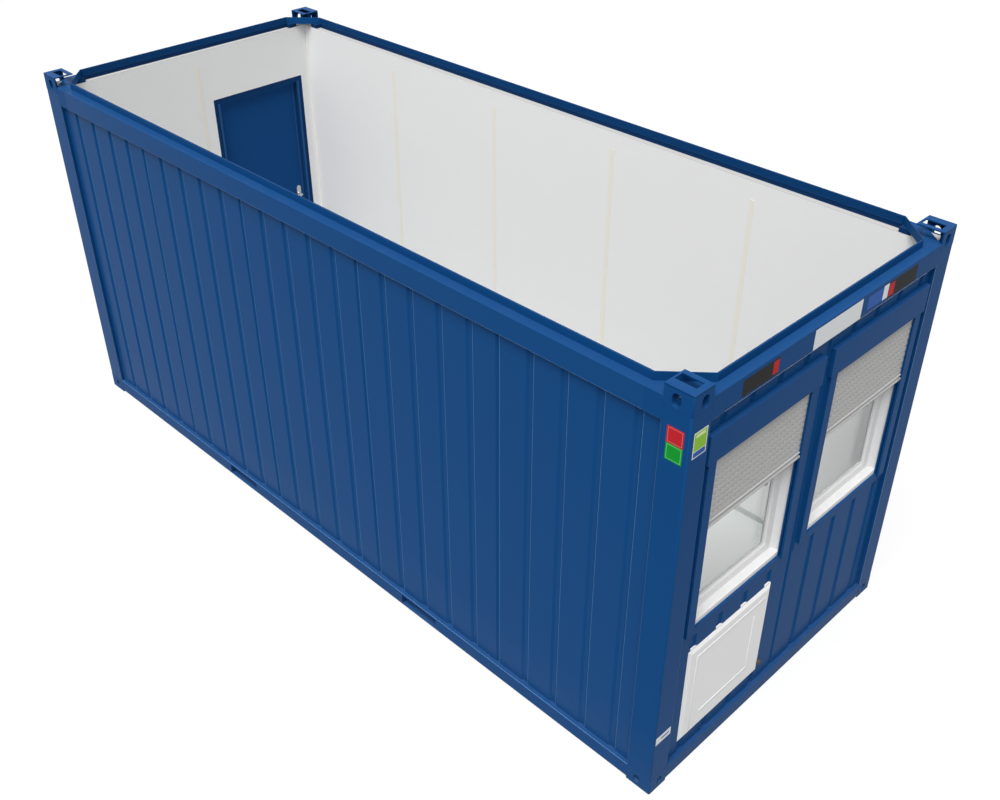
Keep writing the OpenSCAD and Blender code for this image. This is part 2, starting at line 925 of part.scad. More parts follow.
// Both grips on one neck, pointing away from the lock edge.
module door_lever() {
    from = leaf_outer - outer_standoff;
    to = leaf_inner + inner_standoff;
    color(STEEL) {
        translate([from, lever_y, lever_z])
            rotate([0, 90, 0])
                cylinder(r = neck_r, h = to - from);
        for (x = [from, to - grip_thick])
            span(x, x + grip_thick, lever_y - lever_long, lever_y,
                 lever_z - grip_high / 2, lever_z + grip_high / 2);
    }
}

// ---- service cover ----

// A trapezium: the cover's section across one of its sides, depth along Y.
module cover_section(wide) {
    polygon([
        [-wide / 2, wall_recess], [wide / 2, wall_recess],
        [wide / 2 - cover_slope, wall_recess - cover_proud],
        [-wide / 2 + cover_slope, wall_recess - cover_proud]
    ]);
}

module service_cover() {
    color(WHITE)
        on_window_end()
            translate([cover_centre, 0, cover_bottom])
                intersection() {
                    linear_extrude(cover_high) cover_section(cover_wide);
                    translate([0, 0, cover_high / 2])
                        rotate([0, 90, 0])
                            linear_extrude(cover_wide, center = true)
                                cover_section(cover_high);
                }
}

floor_rail_front();
floor_rail_back();
floor_rail_window_end();
floor_rail_door_end();
fork_tunnel_left();
fork_tunnel_right();
underfloor_sheet();
floor_deck();
corner_casting_front_window();
corner_casting_front_door();
corner_casting_back_window();
corner_casting_back_door();
corner_post_front_window();
corner_post_front_door();
corner_post_back_window();
corner_post_back_door();
roof_corner_front_window();
roof_corner_front_door();
roof_corner_back_window();
roof_corner_back_door();
roof_rail_front();
roof_rail_back();
roof_rail_window_end();
roof_rail_door_end();
wall_front();
wall_back();
wall_under_windows();
wall_over_windows();
wall_pier_left();
wall_pier_middle();
wall_pier_right();
wall_beside_door();
wall_door_side();
wall_over_door();
window_frame_left();
window_frame_right();
window_glass_left();
window_glass_right();
shutter_box_left();
shutter_box_right();
shutter_curtain_left();
shutter_curtain_right();
door_frame();
door_leaf();
door_lever();
service_cover();
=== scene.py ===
"""Finishes and small pieces for the shipping container cabin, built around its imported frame."""

import json
import logging
import math
from dataclasses import dataclass, field
from enum import Enum
from typing import Iterable, Sequence

import bmesh
import bpy
from mathutils import Matrix, Vector

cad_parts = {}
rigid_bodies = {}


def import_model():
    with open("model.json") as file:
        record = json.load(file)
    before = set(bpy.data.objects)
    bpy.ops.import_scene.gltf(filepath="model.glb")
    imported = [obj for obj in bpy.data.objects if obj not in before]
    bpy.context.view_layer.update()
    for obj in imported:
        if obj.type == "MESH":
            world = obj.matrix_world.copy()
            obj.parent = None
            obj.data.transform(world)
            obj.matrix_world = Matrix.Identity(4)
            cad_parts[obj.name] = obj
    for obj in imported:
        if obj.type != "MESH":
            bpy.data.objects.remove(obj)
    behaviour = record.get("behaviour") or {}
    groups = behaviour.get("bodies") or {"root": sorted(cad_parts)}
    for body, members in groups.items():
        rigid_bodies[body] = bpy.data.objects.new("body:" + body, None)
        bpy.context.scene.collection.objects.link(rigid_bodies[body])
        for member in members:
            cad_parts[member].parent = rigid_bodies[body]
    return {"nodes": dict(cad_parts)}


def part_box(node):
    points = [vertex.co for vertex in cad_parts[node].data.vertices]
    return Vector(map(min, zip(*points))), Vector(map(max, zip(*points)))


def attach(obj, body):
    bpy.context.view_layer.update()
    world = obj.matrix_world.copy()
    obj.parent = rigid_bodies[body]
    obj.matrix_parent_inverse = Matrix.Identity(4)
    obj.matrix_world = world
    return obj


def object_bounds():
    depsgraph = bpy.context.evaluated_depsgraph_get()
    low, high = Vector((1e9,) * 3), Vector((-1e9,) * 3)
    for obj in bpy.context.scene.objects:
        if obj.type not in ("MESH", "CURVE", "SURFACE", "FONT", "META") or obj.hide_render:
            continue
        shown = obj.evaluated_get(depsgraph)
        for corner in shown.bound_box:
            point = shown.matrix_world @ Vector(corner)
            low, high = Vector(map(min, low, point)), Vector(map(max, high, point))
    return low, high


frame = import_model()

CAD_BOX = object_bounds()
LOG = logging.getLogger("cabin")

HALF_L, HALF_W, TOP = CAD_BOX[1]
WALL_RECESS = HALF_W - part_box("wall_back")[1].y
WALL_INNER = HALF_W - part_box("wall_back")[0].y
WALL_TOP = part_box("wall_back")[1].z - 0.030
RAIL_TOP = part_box("floor_deck")[0].z
DECK_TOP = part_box("floor_deck")[1].z
RAIL_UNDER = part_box("roof_rail_back")[0].z
ENDS = (-1, 1)

Colour = tuple[float, float, float]
Point = Sequence[float]
Hole = tuple[float, float, float, float]


def tint(red: int, green: int, blue: int) -> Colour:
    """Turns a screen colour into the linear colour that shaders use.

    Args:
        red: Red, 0 to 255.
        green: Green, 0 to 255.
        blue: Blue, 0 to 255.

    Returns:
        The linear colour.
    """
    shares = (value / 255 for value in (red, green, blue))
    return tuple(s / 12.92 if s <= 0.04045 else ((s + 0.055) / 1.055) ** 2.4 for s in shares)


class Body(Enum):
    """The bodies that the pieces ride on."""

    CABIN = "cabin"
    DOOR = "door"


class Side(Enum):
    """The cabin's four sides. A value is the turn in degrees from the front, and the reach."""

    FRONT = (0, HALF_W)
    WINDOW_END = (90, HALF_L)
    BACK = (180, HALF_W)
    DOOR_END = (270, HALF_L)

    @property
    def long(self) -> bool:
        """Whether this is one of the two long sides."""
        return self in (Side.FRONT, Side.BACK)

    @property
    def label(self) -> str:
        """The side's name as it stands in a piece's name."""
        return self.name.lower()

    def place(self) -> Matrix:
        """The matrix from the side's own axes: X right seen from outside, Y inward, Z up."""
        turn, reach = self.value
        return Matrix.Rotation(math.radians(turn), 4, "Z") @ Matrix.Translation((0, -reach, 0))


def end_box(node: str) -> tuple[Vector, Vector]:
    """A node's lowest and highest corners in the window end's axes."""
    low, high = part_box(node)
    return Vector((low.y, HALF_L - high.x, low.z)), Vector((high.y, HALF_L - low.x, high.z))


# ---------------------------------------------------------------- finishes


class Tree:
    """A node tree with short ways to add and join nodes."""

    def __init__(self, tree: bpy.types.NodeTree) -> None:
        """Keeps the tree to work on."""
        self.tree = tree

    def join(self, source: bpy.types.NodeSocket, target: bpy.types.NodeSocket) -> None:
        """Links an output to an input."""
        self.tree.links.new(source, target)

    def add(self, kind: str, inputs: dict | None = None, **settings: object) -> bpy.types.Node:
        """Adds a node.

        Args:
            kind: The node's type without its ShaderNode prefix.
            inputs: Values or sockets for its inputs, by name or index.
            settings: Attributes of the node.

        Returns:
            The new node.
        """
        node = self.tree.nodes.new(kind if kind.startswith("Node") else "ShaderNode" + kind)
        for name, value in settings.items():
            setattr(node, name, value)
        for name, value in (inputs or {}).items():
            if isinstance(value, bpy.types.NodeSocket):
                self.join(value, node.inputs[name])
            else:
                node.inputs[name].default_value = value
        return node

    def maths(self, operation: str, first: object, second: object = 0.0,
              clamp: bool = False) -> bpy.types.NodeSocket:
        """Adds a Math node.

        Args:
            operation: The Math node's operation.
            first: The first value or socket.
            second: The second value or socket.
            clamp: Whether the result is held between 0 and 1.

        Returns:
            The result's socket.
        """
        node = self.add("Math", {0: first, 1: second}, operation=operation, use_clamp=clamp)
        return node.outputs[0]

    def blend(self, share: object, first: object, second: object) -> bpy.types.NodeSocket:
        """Mixes two colours.

        Args:
            share: How much of the second colour shows.
            first: The first colour or socket.
            second: The second colour or socket.

        Returns:
            The result's socket.
        """
        ends = [value if isinstance(value, bpy.types.NodeSocket) else (*value, 1)
                for value in (first, second)]
        return self.add("Mix", {0: share, 6: ends[0], 7: ends[1]}, data_type="RGBA").outputs[2]

    def scale(self, colour: object, level: object) -> bpy.types.NodeSocket:
        """Multiplies a colour by a level."""
        return self.add("VectorMath", {0: colour, 3: level}, operation="SCALE").outputs[0]

    def place(self) -> bpy.types.NodeSocket:
        """The object's own coordinates."""
        return self.add("TexCoord").outputs["Object"]

    def noise(self, place: bpy.types.NodeSocket, scale: object, detail: float,
              roughness: float = 0.5) -> bpy.types.NodeSocket:
        """Adds a noise texture.

        Args:
            place: The coordinates that it reads.
            scale: Its scale.
            detail: Its detail.
            roughness: Its roughness.

        Returns:
            The level's socket.
        """
        return self.add("TexNoise", {"Vector": place, "Scale": scale, "Detail": detail,
                                     "Roughness": roughness}).outputs["Fac"]


def group(name: str, inputs: dict[str, float], outputs: Sequence[str]) -> tuple:
    """Starts a shader node group.

    Args:
        name: The group's name.
        inputs: Its number inputs and their defaults.
        outputs: Its number outputs.

    Returns:
        The group, its Tree, and the sockets of its input and output nodes.
    """
    made = bpy.data.node_groups.new(name, "ShaderNodeTree")
    for label, default in inputs.items():
        socket = made.interface.new_socket(label, in_out="INPUT", socket_type="NodeSocketFloat")
        socket.default_value = default
    for label in outputs:
        made.interface.new_socket(label, in_out="OUTPUT", socket_type="NodeSocketFloat")
    tree = Tree(made)
    return made, tree, tree.add("NodeGroupInput").outputs, tree.add("NodeGroupOutput").inputs


def make_paint_skin() -> bpy.types.ShaderNodeTree:
    """The slight ripple and mottling of a sprayed or coated sheet."""
    made, tree, given, result = group(
        "paint_skin",
        {"Ripple Scale": 300.0, "Mottle Scale": 1.2, "Mottle": 0.04, "Gloss Spread": 0.06},
        ("Shade", "Gloss", "Height"),
    )
    place = tree.place()
    cloud = tree.noise(place, given["Mottle Scale"], 4.0, 0.6)
    centred = tree.maths("SUBTRACT", cloud, 0.5)
    mottle = tree.maths("MULTIPLY", centred, given["Mottle"])
    tree.join(tree.maths("ADD", mottle, 1.0), result["Shade"])
    tree.join(tree.maths("MULTIPLY", centred, given["Gloss Spread"]), result["Gloss"])
    tree.join(tree.noise(place, given["Ripple Scale"], 2.0), result["Height"])
    return made


def make_settled_dust() -> bpy.types.ShaderNodeTree:
    """A mask of fine dust low down, and of upward faces, where its grey paints light: a sheen on
    blue tops, shade on white ones.
    """
    made, tree, given, result = group(
        "settled_dust", {"Reach": 0.5, "Low": 0.5, "Upward": 0.3}, ("Mask",))
    place = tree.place()
    height = tree.add("SeparateXYZ", {0: place}).outputs["Z"]
    up = tree.add("SeparateXYZ", {0: tree.add("NewGeometry").outputs["Normal"]}).outputs["Z"]
    fade = tree.maths("SUBTRACT", 1.0, tree.maths("DIVIDE", height, given["Reach"]), True)
    low = tree.maths("MULTIPLY", fade, given["Low"])
    lying = tree.maths("MULTIPLY", tree.maths("MAXIMUM", up, 0.0), given["Upward"])
    patch = tree.noise(place, 9.0, 6.0, 0.65)
    tree.join(tree.maths("MULTIPLY", tree.maths("ADD", low, lying), patch, True), result["Mask"])
    return made


def make_drawn_lines() -> bpy.types.ShaderNodeTree:
    """Fine parallel lines, as on drawn or brushed metal."""
    made, tree, given, result = group("drawn_lines", {"Fineness": 900.0}, ("Line",))
    across = tree.add("VectorMath", {0: tree.place(), 1: (0.02, 1.0, 1.0)}, operation="MULTIPLY")
    tree.join(tree.noise(across.outputs[0], given["Fineness"], 3.0), result["Line"])
    return made


GROUPS = {made.name: made
          for made in (make_paint_skin(), make_settled_dust(), make_drawn_lines())}


@dataclass(frozen=True)
class Finish:
    """A material that is made once and then shared."""

    name: str
    colour: Colour
    roughness: float = 0.5

    def material(self) -> bpy.types.Material:
        """The material, made on first use."""
        found = bpy.data.materials.get(self.name)
        if found:
            return found
        made = bpy.data.materials.new(self.name)
        made.use_nodes = True
        made.diffuse_color = (*self.colour, 1)
        shader = made.node_tree.nodes["Principled BSDF"]
        shader.inputs["Base Color"].default_value = (*self.colour, 1)
        shader.inputs["Roughness"].default_value = self.roughness
        self.dress(Tree(made.node_tree), shader.inputs)
        return made

    def dress(self, tree: Tree, sockets: bpy.types.NodeInputs) -> None:
        """Adds what this finish has over a plain colour, on the shader's sockets."""

    def group(self, tree: Tree, name: str, **inputs: float) -> bpy.types.NodeOutputs:
        """Places a shared node group.

        Args:
            tree: The material's tree.
            name: The group's name.
            inputs: Values for its inputs, with underscores for spaces.

        Returns:
            The group's outputs.
        """
        node = tree.add("Group", node_tree=GROUPS[name])
        for label, value in inputs.items():
            node.inputs[label.replace("_", " ")].default_value = value
        return node.outputs

    def roughen(self, tree: Tree, sockets: bpy.types.NodeInputs, level: object,
                spread: float) -> None:
        """Adds a level's share to the roughness.

        Args:
            tree: The material's tree.
            sockets: The shader's inputs.
            level: The level's socket.
            spread: How much of it is added.
        """
        more = tree.maths("MULTIPLY", level, spread)
        tree.join(tree.maths("ADD", more, self.roughness), sockets["Roughness"])

    def bump(self, tree: Tree, sockets: bpy.types.NodeInputs, height: bpy.types.NodeSocket,
             distance: float) -> None:
        """Gives the shader a bump.

        Args:
            tree: The material's tree.
            sockets: The shader's inputs.
            height: The height's socket.
            distance: The height of the bump in metres.
        """
        node = tree.add("Bump", {"Height": height, "Distance": distance, "Strength": 1.0})
        tree.join(node.outputs[0], sockets["Normal"])


@dataclass(frozen=True)
class Paint(Finish):
    """Sprayed or factory-coated paint on sheet."""

    ripple: float = 300.0
    ripple_deep: float = 0.00003
    mottle: float = 0.03
    specular: float = 0.015
    # Share of grey on upward faces: dust on some paints, a painted grey sheen on the blue paints,
    # painted shade on the white window plastic.
    dust: float = 0.045
    dust_low: float = 0.06
    dust_reach: float = 0.5
    dust_colour: Colour = tint(150, 150, 148)
    dust_roughness: float = 0.3

    def dress(self, tree: Tree, sockets: bpy.types.NodeInputs) -> None:
        """Mottles the paint, dusts it low down, paints light on its upward faces with the same
        grey, and ripples it.

        Args:
            tree: The material's tree.
            sockets: The shader's inputs.
        """
        skin = self.group(tree, "paint_skin", Ripple_Scale=self.ripple, Mottle=self.mottle)
        dust = self.group(tree, "settled_dust", Reach=self.dust_reach, Low=self.dust_low,
                          Upward=self.dust)["Mask"]
        shaded = tree.scale(self.painted(tree), skin["Shade"])
        # Dust low down; on upward faces the grey is also a painted sheen on blue and painted shade
        # on white.
        tree.join(tree.blend(dust, shaded, self.dust_colour), sockets["Base Color"])
        rough = tree.maths("ADD", skin["Gloss"], self.roughness)
        dusty = tree.maths("MULTIPLY", dust, self.dust_roughness)
        tree.join(tree.maths("ADD", rough, dusty, True), sockets["Roughness"])
        sockets["Specular IOR Level"].default_value = self.specular
        self.bump(tree, sockets, skin["Height"], self.ripple_deep)

    def painted(self, tree: Tree) -> object:
        """The paint's own colour before shade and dust."""
        return self.colour


@dataclass(frozen=True)
class PanelPaint(Paint):
    """A wall panel's paint: the outer skin's colour outside, the core's colour further in."""

    core: Colour = tint(184, 184, 183)
    skin_deep: float = 0.045

    def painted(self, tree: Tree) -> bpy.types.NodeSocket:
        """The outer colour near the cabin's faces and the core's colour behind.

        Args:
            tree: The material's tree.

        Returns:
            The colour's socket.
        """
        place = tree.add("SeparateXYZ", {0: tree.place()}).outputs
        near = [tree.maths("GREATER_THAN", tree.maths("ABSOLUTE", place[axis]),
                           half - self.skin_deep) for axis, half in (("X", HALF_L), ("Y", HALF_W))]
        return tree.blend(tree.maths("MAXIMUM", *near), self.core, self.colour)


@dataclass(frozen=True)
class WeldedPaint(Paint):
    """Paint on the upper corner fittings, with the seam under their top plates."""

    seam_under: float = 0.008
    seam_half: float = 0.0015
    seam_shade: float = 0.3

    def painted(self, tree: Tree) -> bpy.types.NodeSocket:
        """The paint's colour, darker in the seam.

        Args:
            tree: The material's tree.

        Returns:
            The colour's socket.
        """
        height = tree.add("SeparateXYZ", {0: tree.place()}).outputs["Z"]
        away = tree.maths("ABSOLUTE", tree.maths("SUBTRACT", height, TOP - self.seam_under))
        seam = tree.maths("LESS_THAN", away, self.seam_half)
        return tree.blend(seam, self.colour, [self.seam_shade * c for c in self.colour])


@dataclass(frozen=True)
class Rubber(Finish):
    """Black or grey sealing rubber."""

    grain: float = 900.0
    grain_deep: float = 0.00005
    mottle: float = 0.2
    specular: float = 0.3

    def dress(self, tree: Tree, sockets: bpy.types.NodeInputs) -> None:
        """Gives the rubber its matt grain.

        Args:
            tree: The material's tree.
            sockets: The shader's inputs.
        """
        skin = self.group(tree, "paint_skin", Ripple_Scale=self.grain, Mottle=self.mottle)
        tree.join(tree.scale(self.colour, skin["Shade"]), sockets["Base Color"])
        sockets["Specular IOR Level"].default_value = self.specular
        self.bump(tree, sockets, skin["Height"], self.grain_deep)


@dataclass(frozen=True)
class Metal(Finish):
    """Bare drawn metal."""

    metallic: float = 1.0
    fineness: float = 900.0
    spread: float = 0.15
    line_deep: float = 0.00002

    def dress(self, tree: Tree, sockets: bpy.types.NodeInputs) -> None:
        """Draws the metal's fine lines.

        Args:
            tree: The material's tree.
            sockets: The shader's inputs.
        """
        line = self.group(tree, "drawn_lines", Fineness=self.fineness)["Line"]
        sockets["Metallic"].default_value = self.metallic
        self.roughen(tree, sockets, line, self.spread)
        self.bump(tree, sockets, line, self.line_deep)


@dataclass(frozen=True)
class Spangle(Finish):
    """Galvanised sheet with its crystal flowers."""

    metallic: float = 0.8
    crystals: float = 90.0
    darkest: float = 0.8
    shade_spread: float = 0.3
    gloss_spread: float = 0.2

    def dress(self, tree: Tree, sockets: bpy.types.NodeInputs) -> None:
        """Lays the zinc's crystals over the sheet.

        Args:
            tree: The material's tree.
            sockets: The shader's inputs.
        """
        cells = tree.add("TexVoronoi", {"Vector": tree.place(), "Scale": self.crystals})
        level = tree.add("SeparateColor", {0: cells.outputs["Color"]}).outputs[0]
        shade = tree.maths("ADD", tree.maths("MULTIPLY", level, self.shade_spread), self.darkest)
        tree.join(tree.scale(self.colour, shade), sockets["Base Color"])
        self.roughen(tree, sockets, level, self.gloss_spread)
        sockets["Metallic"].default_value = self.metallic


@dataclass(frozen=True)
class Vinyl(Finish):
    """Floor covering with a fine fleck."""

    fleck: Colour = tint(140, 144, 144)
    fleck_share: float = 0.4
    fleck_scale: float = 260.0
    cloud_scale: float = 3.0
    cloud_shade: float = 0.93
    fleck_from: float = 0.56
    fleck_to: float = 0.62
    specular: float = 0.4
    grain_deep: float = 0.00004

    def dress(self, tree: Tree, sockets: bpy.types.NodeInputs) -> None:
        """Scatters flecks over the covering.

        Args:
            tree: The material's tree.
            sockets: The shader's inputs.
        """
        place = tree.place()
        fine = tree.noise(place, self.fleck_scale, 2.0)
        spots = tree.add("ValToRGB", {0: fine})
        spots.color_ramp.elements[0].position = self.fleck_from
        spots.color_ramp.elements[1].position = self.fleck_to
        cloud = tree.noise(place, self.cloud_scale, 3.0)
        base = tree.blend(cloud, self.colour, [self.cloud_shade * c for c in self.colour])
        share = tree.maths("MULTIPLY", spots.outputs[0], self.fleck_share)
        tree.join(tree.blend(share, base, self.fleck), sockets["Base Color"])
        sockets["Specular IOR Level"].default_value = self.specular
        self.bump(tree, sockets, fine, self.grain_deep)


@dataclass(frozen=True)
class Glass(Finish):
    """A clear double glazing unit."""

    index: float = 1.12
    film: float = 0.12

    def dress(self, tree: Tree, sockets: bpy.types.NodeInputs) -> None:
        """Clears the pane and tints it slightly, with a faint film on it.

        Args:
            tree: The material's tree.
            sockets: The shader's inputs.
        """
        sockets["Transmission Weight"].default_value = 1.0
        sockets["IOR"].default_value = self.index
        cloud = tree.maths("SUBTRACT", tree.noise(tree.place(), 5.0, 4.0), 0.45, True)
        tree.join(tree.maths("MULTIPLY", cloud, self.film), sockets["Roughness"])


BLUE = tint(16, 68, 121)
SHELL_BLUE = Paint("blue_frame_paint", BLUE, 0.3, mottle=0.08)
CORNER_BLUE = WeldedPaint("blue_corner_paint", BLUE, 0.3, mottle=0.08)
GLOSSY_BLUE = Paint("blue_glossy_paint", BLUE, 0.3, mottle=0.08, specular=0.03)
WALL_BLUE = PanelPaint("blue_panel_paint", BLUE, 0.3, mottle=0.08)
LONG_WALL_BLUE = PanelPaint("blue_long_panel_paint", BLUE, 0.3, mottle=0.08, specular=0.03)
DOOR_BLUE = Paint("blue_door_paint", tint(21, 67, 121), 0.4, mottle=0.06)
# A darker blue that stands for painted shade, on the roof rails' inner webs and on the door
# frame's flange.
PAINTED_SHADE_BLUE = Paint("deep_blue_paint", tint(14, 50, 93), 0.45, mottle=0.06, specular=0.03)
# A lighter blue that stands for a painted highlight, on the low slot rims, the door frame's lip
# and the strip on the door leaf.
PAINTED_HIGHLIGHT_BLUE = Paint("light_blue_edge", tint(40, 82, 132), 0.4, mottle=0.06)
# A pale blue for thin lines that stand for a painted highlight on fold edges.
FOLD_HIGHLIGHT_BLUE = Paint("worn_fold_blue", tint(96, 146, 186), 0.4, mottle=0.3)
# A darker blue that stands for painted shade on the roof rails' inner lips.
PAINTED_SHADE_RAIL_BLUE = Paint("blue_rail_inside", tint(15, 58, 105), 0.4, mottle=0.06)
LINING_WHITE = Paint("white_lining_board", tint(228, 228, 228), 0.6, ripple=60.0,
                     ripple_deep=0.00002, mottle=0.02, dust=0.0, dust_low=0.02)
TRIM_WHITE = Paint("white_corner_trim", tint(234, 234, 234), mottle=0.02, dust=0.0)
STRIP_BEIGE = Paint("beige_joint_strip", tint(228, 225, 216), dust=0.0)
# A grey darker than the lining that stands for painted shade on the wall's lit top edge.
PAINTED_SHADE_CAP_GREY = Paint("grey_wall_cap", tint(186, 186, 185), dust=0.0)
SKIRTING_GREY = Paint("grey_skirting", tint(182, 187, 186), mottle=0.04, dust=0.0)
# Its large share of upward grey is painted shade on the sill and the other tops.
FRAME_WHITE = Paint("white_window_plastic", tint(227, 227, 227), 0.35, ripple=40.0,
                    ripple_deep=0.00001, mottle=0.02, specular=0.1, dust=0.22, dust_low=0.0)
COVER_WHITE = Paint("white_cover_paint", tint(232, 232, 232), 0.4, specular=0.1, dust=0.01,
                    dust_low=0.05)
SLAT_GREY = Paint("grey_slat_lacquer", tint(172, 172, 171), 0.45, mottle=0.05, specular=0.08,
                  dust=0.02)
SLOT_GREY = Paint("punched_slot_grey", tint(190, 190, 190), 0.45, specular=0.08)
BAR_GREY = Paint("pale_bar_lacquer", tint(184, 184, 184), 0.35, specular=0.1)
GLAND_GREY = Paint("dark_grey_plastic", tint(74, 75, 74), mottle=0.05, dust_low=0.1)
SEAL_PALE = Rubber("pale_seal", tint(196, 197, 198), 0.7)
GLAZING_GREY = Rubber("grey_glazing_seal", tint(212, 214, 213), 0.7)
SEAL_BLUE = Rubber("blue_grey_seal", tint(92, 122, 160), 0.7)
SEAL_DARK = Rubber("dark_rubber", tint(32, 33, 35), 0.65)
ZINC = Spangle("galvanised_sheet", tint(165, 168, 170), 0.35)
ALUMINIUM = Metal("satin_aluminium", tint(205, 206, 208), 0.28, metallic=0.9)
STEEL_DARK = Metal("plated_screw_steel", tint(170, 172, 176), 0.3)
FLOOR_VINYL = Vinyl("grey_floor_vinyl", tint(200, 202, 201))
PANE = Glass("clear_pane", tint(238, 240, 239), 0.0)
PLATE_BLACK = Paint("black_plate", tint(38, 38, 38), 0.45, specular=0.03)
PLATE_WHITE = Paint("white_plate", tint(218, 221, 223), 0.4)
PLATE_RED = Paint("red_plate", tint(180, 36, 44), 0.4, specular=0.03)
PLATE_ROSE = Paint("red_plate_border", tint(212, 110, 112), 0.4)
PLATE_BLUE = Paint("blue_plate", tint(54, 94, 164), 0.4)
PLATE_GREEN = Paint("green_plate", tint(24, 142, 48), 0.4)
PLATE_MINT = Paint("green_plate_border", tint(110, 196, 124), 0.4)
PLATE_LIME = Paint("lime_plate", tint(138, 188, 64), 0.4)
PLATE_CREAM = Paint("cream_plate", tint(206, 222, 160), 0.4)


# ---------------------------------------------------------------- shapes


def around(verts: Iterable[bmesh.types.BMVert], kind: str = "link_edges") -> set:
    """The edges or the faces that touch some vertices."""
    return {found for vert in verts for found in getattr(vert, kind)}


def runs_along(edge: bmesh.types.BMEdge, axis: int) -> bool:
    """Whether an edge runs along an axis."""
    return abs((edge.verts[0].co - edge.verts[1].co).normalized()[axis]) > 0.9


class Shaper:
    """Collects shapes in one mesh and turns them into a piece of the cabin."""

    def __init__(self, side: Side | None = None) -> None:
        """Starts an empty mesh, in a side's own axes or else in the cabin's."""
        self.mesh = bmesh.new()
        self.side = side

    def bevel(self, edges: Iterable[bmesh.types.BMEdge], width: float,
              segments: int) -> list[bmesh.types.BMVert]:
        """Bevels edges.

        Args:
            edges: The edges.
            width: The bevel's width.
            segments: Its number of segments.

        Returns:
            The vertices that this leaves.
        """
        return bmesh.ops.bevel(self.mesh, geom=list(edges), offset=width, offset_type="OFFSET",
                               segments=segments, profile=0.5, affect="EDGES",
                               material=-1)["verts"]

    def round_off(self, verts: Iterable[bmesh.types.BMVert], width: float, segments: int = 2,
                  sharp: float = 30.0) -> None:
        """Bevels the sharp edges between some vertices.

        Args:
            verts: The vertices whose edges are looked at.
            width: The bevel's width, or 0 for none.
            segments: Its number of segments.
            sharp: The least angle in degrees of an edge that is bevelled.
        """
        if width > 0:
            self.bevel([e for e in around(verts) if e.calc_face_angle(0) > math.radians(sharp)],
                       width, segments)

    def cube(self, low: Point, high: Point) -> list[bmesh.types.BMVert]:
        """Adds a plain box between two corners.

        Args:
            low: The lowest corner.
            high: The highest corner.

        Returns:
            Its vertices.
        """
        low, high = Vector(low), Vector(high)
        place = Matrix.Translation((low + high) / 2) @ Matrix.Diagonal((*(high - low), 1))
        return bmesh.ops.create_cube(self.mesh, size=1.0, matrix=place)["verts"]

    def block(self, low: Point, high: Point, bevel: float = 0.0, segments: int = 2) -> None:
        """Adds a box with bevelled edges.

        Args:
            low: The lowest corner.
            high: The highest corner.
            bevel: The width of its bevelled edges.
            segments: The bevel's segments.
        """
        self.round_off(self.cube(low, high), bevel, segments)

    def rod(self, start: Point, end: Point, radius: float, end_radius: float | None = None,
            bevel: float = 0.0, sides: int = 24) -> None:
        """Adds a round rod, or a cone's frustum, between two points.

        Args:
            start: The middle of its first end.
            end: The middle of its other end.
            radius: The radius at its start.
            end_radius: The radius at its end, or None for the same.
            bevel: The width of its bevelled rims.
            sides: The number of its sides.
        """
        start, end = Vector(start), Vector(end)
        turn = (end - start).to_track_quat("Z", "Y").to_matrix().to_4x4()
        verts = bmesh.ops.create_cone(
            self.mesh, cap_ends=True, segments=sides, radius1=radius,
            radius2=radius if end_radius is None else end_radius, depth=(end - start).length,
            matrix=Matrix.Translation((start + end) / 2) @ turn)["verts"]
        self.round_off(verts, bevel, 2, 50.0)

    def pull(self, points: Iterable[Point], way: Point, bevel: float = 0.0,
             segments: int = 2) -> None:
        """Closes an outline and pulls it into a solid.

        Args:
            points: The outline's corners, in order.
            way: How far it is pulled along each axis.
            bevel: The width of the solid's bevelled edges.
            segments: The bevel's segments.
        """
        ring = [self.mesh.verts.new(point) for point in points]
        loop = [self.mesh.edges.new((ring[i - 1], ring[i])) for i in range(len(ring))]
        face = bmesh.ops.contextual_create(self.mesh, geom=loop)["faces"][0]
        far = self.extrude([face], way)
        bmesh.ops.recalc_face_normals(self.mesh, faces=list(around(ring + far, "link_faces")))
        self.round_off(ring + far, bevel, segments)

    def extrude(self, faces: Iterable[bmesh.types.BMFace],
                way: Point) -> list[bmesh.types.BMVert]:
        """Extrudes faces.

        Args:
            faces: The faces.
            way: How far they go along each axis.

        Returns:
            The vertices that moved.
        """
        moved = bmesh.ops.extrude_face_region(self.mesh, geom=list(faces))["geom"]
        far = [v for v in moved if isinstance(v, bmesh.types.BMVert)]
        bmesh.ops.translate(self.mesh, vec=way, verts=far)
        return far

    def slot_rim(self, middle: tuple[float, float], wide: float, tall: float, front: float,
                 back: float, thick: float) -> None:
        """Adds the wall of an upright slot with round ends.

        Args:
            middle: The slot's middle as (x, height).
            wide: Its width.
            tall: Its height.
            front: The depth where the wall starts.
            back: The depth where it ends.
            thick: The wall's thickness, away from the slot.
        """
        x, z = middle
        place = Matrix.Translation((x, front, z)) @ Matrix.Rotation(math.pi / 2, 4, "X")
        ring = bmesh.ops.create_circle(self.mesh, cap_ends=False, segments=24, radius=wide / 2,
                                       matrix=place)["verts"]
        half = (tall - wide) / 2
        for vert in ring:
            vert.co.z += half if vert.co.z > z - 1e-5 else -half
        made = bmesh.ops.extrude_edge_only(self.mesh, edges=list(around(ring)))["geom"]
        far = [v for v in made if isinstance(v, bmesh.types.BMVert)]
        faces = [f for f in made if isinstance(f, bmesh.types.BMFace)]
        bmesh.ops.translate(self.mesh, vec=(0, back - front, 0), verts=far)
        for face in faces:
            face.normal_update()
            toward = Vector((x, 0, z)) - face.calc_center_median()
            if face.normal.dot(Vector((toward.x, 0, toward.z))) < 0:
                face.normal_flip()
        bmesh.ops.solidify(self.mesh, geom=faces, thickness=thick)
        bmesh.ops.recalc_face_normals(self.mesh, faces=self.mesh.faces)

